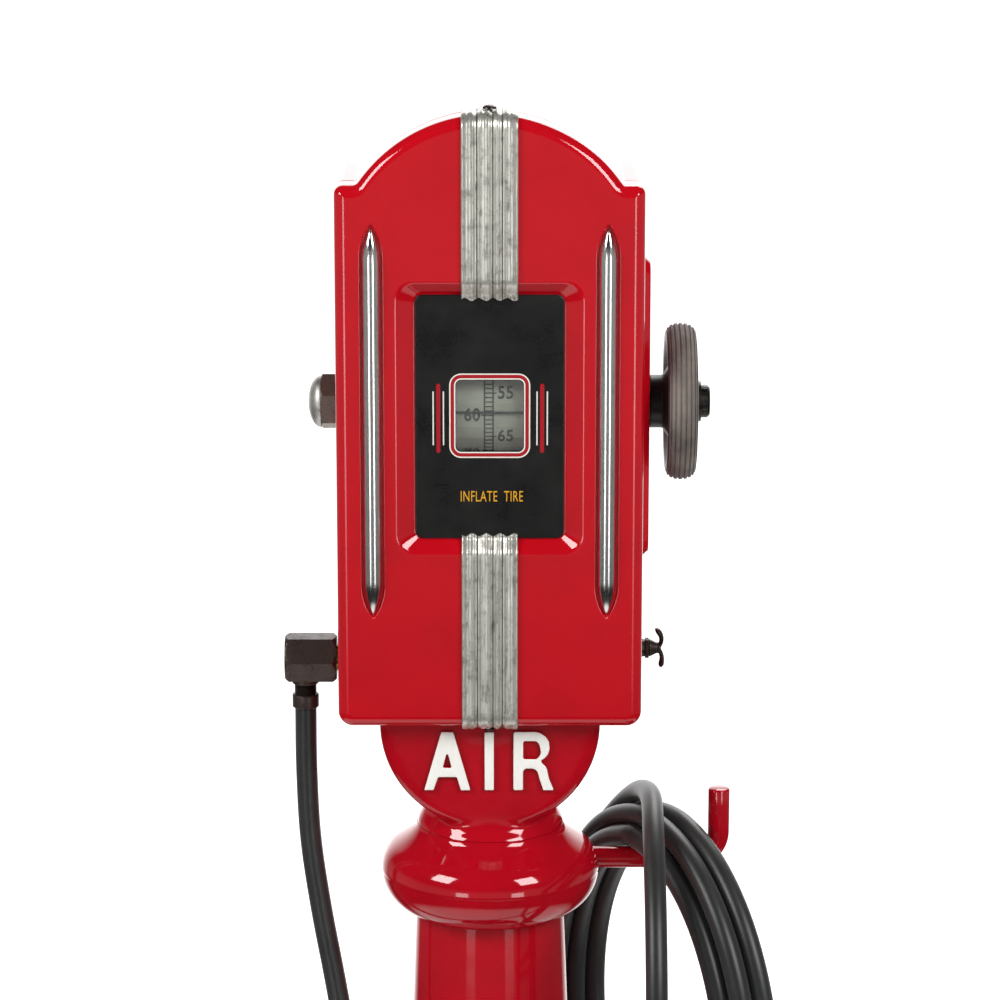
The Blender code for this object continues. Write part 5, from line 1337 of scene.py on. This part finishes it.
# Oil-tempered wire: smooth, blue grey.
spring_wire = metal("oil_tempered_spring_wire", "#8B8984", "#5F5C57", 0.30, 0.0010, 0.000008)
refinish(spring_wire, "setting_spring", "valve_spring")
# Nickel plate rubbed thin: soft and warm where it still shines on the dome, dull on the flats.
nickel = metal("worn_nickel_on_brass", "#D6D5CF", "#B4B0A6", 0.48, 0.0012, 0.00002)
hex_metal = metal("dull_nickel_hexagon", "#A1998F", "#77706A", 0.45, 0.0015, 0.00003)


def hexagon(across_corners, ends, chamfer, height, turn=0.0):
    """A hexagon bar along X with its corners turned off at both ends, as rings."""
    flat = across_corners * cos(pi / 6)
    least = flat * 0.985
    near, far = ends
    stations = [near] + [near + chamfer * k / 3 for k in range(1, 4)]
    stations += [far - chamfer * k / 3 for k in range(3, 0, -1)] + [far]
    stand = Matrix.Translation((0, 0, height)) @ Matrix.Rotation(pi / 2, 4, "Y")
    rings = []
    for along in stations:
        edge = min(1.0, min(along - near, far - along) / chamfer)
        limit = least + (across_corners - least) * edge
        ring = []
        for k in range(72):
            angle = tau * k / 72
            reach = min(limit, flat / cos((angle + pi / 6) % (pi / 3) - pi / 6))
            ring.append(stand @ Vector((reach * cos(angle + turn), reach * sin(angle + turn), along)))
        rings.append(ring)
    return rings


ACORN_X = (-0.134, -0.1203)
DOME_R, DOME_H = 0.0205, 0.010
bm = bmesh.new()
capped_skin(bm, hexagon(0.0228, ACORN_X, 0.0016, AXIS_Z, radians(-22)))
for face in bm.faces:
    face.material_index = 1
dome = [(DOME_R * sin(radians(a)), ACORN_X[0] - DOME_H * cos(radians(a))) for a in range(0, 91, 6)]
dome += [(DOME_R, ACORN_X[0] + 0.0003), (0, ACORN_X[0] + 0.0003)]
turned(dome, "X", (0, 0, AXIS_Z), 64, into=bm)
place("acorn_nut_turned", bm, [nickel, hex_metal], "housing", "steel", "acorn_nut", sharp=28)


# ---------------------------------------------------------------- air pipes and the hose's elbow
# Copper pipes run inside the case from the union at the riser to the regulator and on to the
# outlet. Outside the left wall a dark bronze elbow turns the air down into the hose.

# Drawn copper: brown pink and smooth, with draw marks along it.
copper = metal("drawn_copper_pipe", "#B8754F", "#8B5236", 0.32, 0.003, 0.00001, stretch=(1, 1, 0.2))
refinish(copper, "inlet_tube", "outlet_tube")
refinish(brass_bar, "inlet_union", "outlet_nipple", "outlet_locknut")
# Bronze with a dark patina: chocolate brown, half dull, so it counts as partly metal.
dark_bronze = metal("dark_patinated_bronze", "#4A3F3A", "#2E2724", 0.40, 0.0016, 0.00004, metallic=0.6)
OUTLET_Z = 0.913
ELBOW_X = (-0.165, -0.1235)
DROP_X = -0.149                   # the hose hangs from here
ELBOW_FOOT = OUTLET_Z - 0.02175
bm = bmesh.new()
capped_skin(bm, hexagon(0.0205, ELBOW_X, 0.0030, OUTLET_Z))
turned(filleted([
    (0, OUTLET_Z - 0.012, 0), (0.0108, OUTLET_Z - 0.012, 0), (0.0108, ELBOW_FOOT + 0.0009, 0.0008),
    (0.0090, ELBOW_FOOT, 0), (0, ELBOW_FOOT, 0),
], 4), at=(DROP_X, 0, 0), steps=48, into=bm)
place("elbow_forged", bm, dark_bronze, "housing", "dark_bronze", "hose_elbow", sharp=25, weighted=True)

# The adapter shows its thread below the elbow, then the crimped collar that holds the hose.
THREAD_R, THREAD_DEPTH = 0.0089, 0.0010
THREAD_Z = (ELBOW_FOOT - 0.0004, 0.883)
THREAD_STEPS = 9 * 4
COLLAR_R, COLLAR_FOOT = 0.0107, 0.8718
thread = [(0, THREAD_Z[0])]
for k in range(THREAD_STEPS + 1):
    valley = THREAD_DEPTH * abs((k % 4) - 2) / 2 + (0.0004 if k == 0 else 0)
    thread.append((THREAD_R - valley, THREAD_Z[0] + (THREAD_Z[1] - THREAD_Z[0]) * k / THREAD_STEPS))
thread += filleted([
    (COLLAR_R - 0.0009, THREAD_Z[1], 0), (COLLAR_R, THREAD_Z[1] - 0.0008, 0.0006),
    (COLLAR_R, COLLAR_FOOT + 0.0008, 0.0006), (COLLAR_R - 0.0009, COLLAR_FOOT, 0), (0, COLLAR_FOOT, 0),
], 4)
adapter = turned(thread, at=(DROP_X, 0, 0), steps=64)
place("hose_adapter_threaded", adapter, dark_bronze, "housing", "dark_bronze", "hose_adapter", sharp=30)


# ---------------------------------------------------------------- drain cock
# A small brass cock in the right wall, black with age. Its cast wing ends in two curled lobes, and
# turns a quarter to open.

COCK_Z = 0.921
COCK_FACE_X = SIDE + 0.0077 + SEAM
WING_TIP_Z = 0.0160
WING_TIP_X = {-1: 0.1372, 1: 0.1330}          # the upper lobe curls further in
# Cast brass gone black: dark brown with a faint shine on its high places.
black_brass = metal("blackened_cast_brass", "#3B302A", "#1E1916", 0.42, 0.0014, 0.00005, metallic=0.7)
refinish(black_brass, "cock_body")
bm = turned(filleted([
    (0, COCK_FACE_X, 0), (0.0072, COCK_FACE_X, 0.0004), (0.0068, COCK_FACE_X + 0.0012, 0.0015),
    (0.0044, 0.1340, 0.003), (0.0046, 0.1372, 0.0012), (0, 0.1378, 0),
], 4), "X", (0, 0, COCK_Z), 40)
for side, tip_x in WING_TIP_X.items():
    lobe = bend_line(
        (0.1352, 0, COCK_Z), (0.1398, 0, COCK_Z + side * 0.006),
        (0.1385, 0, COCK_Z + side * 0.0115), (tip_x, 0, COCK_Z + side * WING_TIP_Z), 16,
    )
    points = [Vector(p) for p in lobe]
    rings = []
    for i, p in enumerate(points):
        ahead = (points[min(i + 1, 16)] - points[max(i - 1, 0)]).normalized()
        out = ahead.cross(Vector((0, 1, 0))).normalized()
        t = i / 16
        blunt = sqrt(max(0.04, 1 - max(0.0, (t - 0.72) / 0.28) ** 2))
        wide = (0.0036 + 0.0016 * t) * blunt
        thick = (0.0017 + 0.0010 * t * t) * blunt
        flat = Vector((0, 1, 0)) * wide
        rings.append([p + flat * cos(tau * k / 20) + out * thick * sin(tau * k / 20) for k in range(20)])
    capped_skin(bm, rings)
place("cock_wing_cast", bm, black_brass, "cock", "dark_bronze", "cock_wing", sharp=40)


# ---------------------------------------------------------------- bell
# The bell inside rings once for each puff of air: a spun brass gong on a steel post and a steel
# hammer on its pivot.

refinish(brass_bar, "bell_gong")
refinish(bright_steel, "bell_post", "hammer_pivot")
refinish(blackened, "bell_hammer")


# ---------------------------------------------------------------- air hose
# Half-inch rubber air hose, 25 ft long: moulded black rubber over braid. It leaves the elbow on the
# left, sweeps under the head and is hung by hand over the hook in six long loops.

HOSE_R = 0.00875
HOSE_ROUTE = [
    (-0.149, 0.000, 0.8715), (-0.149, 0.000, 0.8450), (-0.1485, -0.002, 0.8100), (-0.146, -0.004, 0.7620),
    (-0.1395, -0.008, 0.7140), (-0.131, -0.013, 0.6650), (-0.122, -0.020, 0.6200), (-0.112, -0.036, 0.5600),
    (-0.100, -0.058, 0.5000), (-0.083, -0.084, 0.4450), (-0.057, -0.109, 0.4000), (-0.022, -0.131, 0.3700),
    (0.018, -0.146, 0.3590), (0.058, -0.155, 0.3700), (0.092, -0.1565, 0.3990), (0.120, -0.153, 0.4330),
    (0.1454, -0.1466, 0.4690), (0.1701, -0.1335, 0.4900),
]
COIL_CENTRE = Vector((0.1385, 0.0, 0.5891))
COIL_YAW = 28                     # how far the coil is turned from square to the bar, in degrees
COIL_HALF = (0.1425, 0.1738)      # its half width, and how high the bar is above its centre
COIL_START = 212                  # where the hose joins the coil, in degrees from its right, going over it
COIL_TURNS = 5.66
PER_TURN = 56
# Each loop's place along the bar and how far it lies above the first, and how far it hangs lower.
LANES = [(-0.0190, 0.0), (0.0, 0.001), (0.0190, 0.0), (0.0105, 0.0165), (-0.0090, 0.0165), (0.002, 0.0335)]
HANG = [0.044, 0.058, 0.034, 0.050, 0.064, 0.034]
SPACING = 0.008                   # between points of the hose's line
TAIL_TOP = (0.0681, 0.1325, 0.4507)
TAIL_LENGTH = 0.110


def smooth_route(points, spacing):
    """Points at about the given spacing along a smooth curve through the route's points."""
    knots = [Vector(p) for p in points]
    knots = [2 * knots[0] - knots[1]] + knots + [2 * knots[-1] - knots[-2]]
    result = []
    for a, b, c, d in zip(knots, knots[1:], knots[2:], knots[3:]):
        steps = max(1, round((c - b).length / spacing))
        for i in range(steps):
            t = i / steps
            bend = 2 * a - 5 * b + 4 * c - d
            twist = 3 * b - a - 3 * c + d
            result.append((2 * b + (c - a) * t + bend * t * t + twist * t ** 3) / 2)
    result.append(knots[-2])
    return result


def coil_turns():
    """The loops over the hook: three against it, two in the valleys between them, one on top."""
    points = []
    for i in range(int(PER_TURN * COIL_TURNS) + 1):
        run = i / PER_TURN
        angle = radians(COIL_START) - tau * run
        k = int(run + 1e-9)
        share = run - k
        # A loop moves over to the next lane while it hangs under the hook, out of the way.
        move = min(1.0, max(0.0, (share - 0.62) / 0.36))
        move = move * move * (3 - 2 * move)
        here, after = LANES[k], LANES[min(k + 1, 5)]
        lane = here[0] + (after[0] - here[0]) * move
        rise = here[1] + (after[1] - here[1]) * move
        low = HANG[k] + (HANG[min(k + 1, 5)] - HANG[k]) * move
        wide, high = COIL_HALF[0] + rise, COIL_HALF[1] + rise
        if sin(angle) < 0:
            high += low * sin(angle) ** 2
        # The last loop hangs square over the bar, straight down in front of the rest.
        square = min(1.0, max(0.0, (run - 4.78) / 0.24)) * min(1.0, max(0.0, (5.58 - run) / 0.30))
        square = square * square * (3 - 2 * square)
        lane -= 0.010 * square
        stand = Matrix.Translation(COIL_CENTRE) @ Matrix.Rotation(radians(COIL_YAW * (1 - square)), 4, "Z")
        points.append(stand @ Vector((lane, wide * cos(angle), high * sin(angle))))
    return points


def relaxed(line, free, spacing, rounds=160):
    """The hose's line once its turns have pushed each other a diameter apart and settled."""
    line = line.copy()
    first = line.copy()
    count = len(line)
    apart = 2 * HOSE_R * 1.03
    index = np.arange(count)
    reach = int(4 * HOSE_R / spacing) + 1
    hook_clear = HOOK_R + HOSE_R + 0.0008
    for _ in range(rounds):
        push = np.zeros_like(line)
        for s in range(0, count, 128):
            part = line[s:s + 128]
            gap = part[:, None] - line[None]
            far = np.linalg.norm(gap, axis=2)
            near = (far < apart) & (np.abs(index[s:s + 128, None] - index[None]) > reach)
            weight = np.where(near, (apart - far) / np.maximum(far, 1e-6), 0)
            push[s:s + 128] = (gap * weight[:, :, None]).sum(axis=1) * 0.35
        line[free] += push[free]
        middle = (line[:-2] + line[2:]) / 2
        inner = free[(free > 0) & (free < count - 1)]
        line[inner] += (middle[inner - 1] - line[inner]) * 0.25
        # The smoothing shrinks a ring, so each point also feels a pull to where it was laid.
        line[inner] += (first[inner] - line[inner]) * 0.02
        # The hook carries them: nothing sinks into its straight bar.
        on_bar = (line[:, 0] < 0.172) & (line[:, 0] > 0.05)
        away = line[:, 1:] - np.array([0, HOOK_Z])
        far = np.linalg.norm(away, axis=1)
        sunk = on_bar & (far < hook_clear)
        short = (hook_clear - far[sunk]) / np.maximum(far[sunk], 1e-6)
        line[sunk, 1:] += away[sunk] * short[:, None]
    return line


# Moulded hose cover: charcoal, smooth and a little greasy, with a long soft highlight.
hose_rubber = rubber("charcoal_hose_rubber", "#1B1D1D", "#101111", 0.40, 0.0013, 0.00004)
x, y, z = TAIL_TOP
tail = [Vector((x - 0.002, y + 0.002, z - TAIL_LENGTH / 2)), Vector((x - 0.002, y + 0.003, z - TAIL_LENGTH))]
laid = smooth_route(HOSE_ROUTE, 0.01)
feed_count = int(sum((b - a).length for a, b in zip(laid, laid[1:])) / SPACING)
turns = coil_turns()
whole = even_line(smooth_route(laid[::6] + turns[4::4] + tail, 0.006), SPACING)
tail_count = int(TAIL_LENGTH * 0.7 / SPACING)
hose_line = relaxed(whole, np.arange(feed_count - 2, len(whole) - tail_count), SPACING)
hose = tube("air_hose", hose_line, HOSE_R, hose_rubber, "housing", "rubber", "hose_tube", "hose_coil",
            "hose_tail", sides=20)


# ---------------------------------------------------------------- air chuck
# A turned brass inflation chuck is crimped on the hose's end: knurled for the fingers, with a bored
# mouth for the tyre valve and a steel pin in it that the valve pushes up.

CHUCK_AT = tail[-1] - Vector((0, 0, SEAM))
CRIMP_R, GRIP_R, NOSE_R = 0.0095, 0.0115, 0.0110
KNURL = (0.0130, 0.0292, 30, 0.00035)         # from, to, how many ridges, how deep
outside = filleted([(0, 0, 0), (CRIMP_R, 0, 0.0008), (CRIMP_R, -0.0035, 0)], 4)[:-1]
outside += [(CRIMP_R - 0.0005 * (k % 2), -0.0035 - 0.0009 * k) for k in range(8)]
outside += filleted([
    (CRIMP_R, -0.0105, 0), (GRIP_R, -0.0122, 0.0006), (GRIP_R, -0.0300, 0.0008), (0.0085, -0.0338, 0.003),
    (0.0085, -0.0460, 0.002), (NOSE_R, -0.0490, 0.0008), (NOSE_R, -0.0620, 0.0012), (0.0046, -0.0620, 0.0004),
    (0.0045, -0.0500, 0),
], 5)
outside += [(0.0021, -0.0500), (0.0021, -0.0380), (0, -0.0380)]
bm = turned(outside, at=CHUCK_AT, steps=120)
for vert in bm.verts:
    away = Vector((vert.co.x - CHUCK_AT.x, vert.co.y - CHUCK_AT.y, 0))
    low = CHUCK_AT.z - vert.co.z
    if KNURL[0] < low < KNURL[1] and away.length > NOSE_R:
        vert.co -= away.normalized() * KNURL[3] * (0.5 + 0.5 * cos(KNURL[2] * atan2(away.y, away.x)))
place("air_chuck_turned", bm, brass_bar, "housing", "brass", "air_chuck", sharp=28)
refinish(bright_steel, "chuck_pin")


# ---------------------------------------------------------------- cord tie
# Two turns of twisted cotton cord, waxed black and knotted out of sight, hold the hose's front
# strands together below the hook.

TIE_Z = 0.625
TIE_R = 0.0019
STRAND = 0.0022                   # between the cord's strands; Wave repeats every pi / 10 / Scale
# Waxed cord: brown black, its colour lighter on the crests of its strands and darker between them, a painted
# highlight and painted shade that follow the twist.
cord_wax, tree = bare_material("waxed_black_cord")
runs = add(tree, "UVMap", uv_map="UVMap")
laid_up = add(tree, "Mapping", {"Vector": runs.outputs[0], "Rotation": (0, 0, 0.9)})
strands = add(tree, "TexWave", {"Vector": laid_up.outputs[0], "Scale": pi / 10 / STRAND, "Distortion": 0.4})
# Painted highlight and painted shade: the colour follows the strands' height.
tone = add(tree, "ValToRGB", {0: strands.outputs["Fac"]}, [(0.2, "#15130F"), (0.8, "#3A352C")])
bump = add(tree, "Bump", {"Height": strands.outputs["Fac"], "Distance": 0.0004, "Strength": 1.0})
film = add(tree, "BsdfPrincipled", {
    "Base Color": tone.outputs[0], "Roughness": 0.6, "IOR": 1.5, "Normal": bump.outputs[0],
})
add(tree, "OutputMaterial", {"Surface": film.outputs[0]})

# Where the front strands pass the tie's height, each as its middle and how upright it stands there.
local = (Matrix.Translation(COIL_CENTRE) @ Matrix.Rotation(radians(COIL_YAW), 4, "Z")).inverted()
spots = []
for a, b in zip(hose_line, hose_line[1:]):
    if (a[2] - TIE_Z) * (b[2] - TIE_Z) <= 0 and a[2] != b[2]:
        cross = a + (b - a) * (TIE_Z - a[2]) / (b[2] - a[2])
        if (local @ Vector(cross)).y < 0 and cross[0] > 0.03:
            spots.append((cross[0], cross[1], abs(b[2] - a[2]) / float(np.linalg.norm(b - a))))
around = set()
for px, py, upright in spots:
    reach = HOSE_R / upright ** 0.5 + TIE_R + 0.0006
    for k in range(40):
        around.add((round(px + reach * cos(tau * k / 40), 6), round(py + reach * sin(tau * k / 40), 6)))
around = sorted(around)


def hull_side(points):
    """One side of the tight line round points that are in order across."""
    chain = []
    for p in points:
        while len(chain) > 1 and ((chain[-1][0] - chain[-2][0]) * (p[1] - chain[-2][1])
                                  - (chain[-1][1] - chain[-2][1]) * (p[0] - chain[-2][0])) <= 0:
            chain.pop()
        chain.append(p)
    return chain


hull = hull_side(around)[:-1] + hull_side(around[::-1])[:-1]
loop = even_line([(px, py, 0) for px, py in hull + hull[:1]], 0.003)[:-1]
wound = []
count = len(loop)
for i in range(2 * count + 3):
    px, py, _ = loop[i % count]
    wound.append((px, py, TIE_Z - 2.15 * TIE_R * i / count))
tube("cord_tie", wound, TIE_R, cord_wax, "housing", "cord", "hose_tie", sides=12)
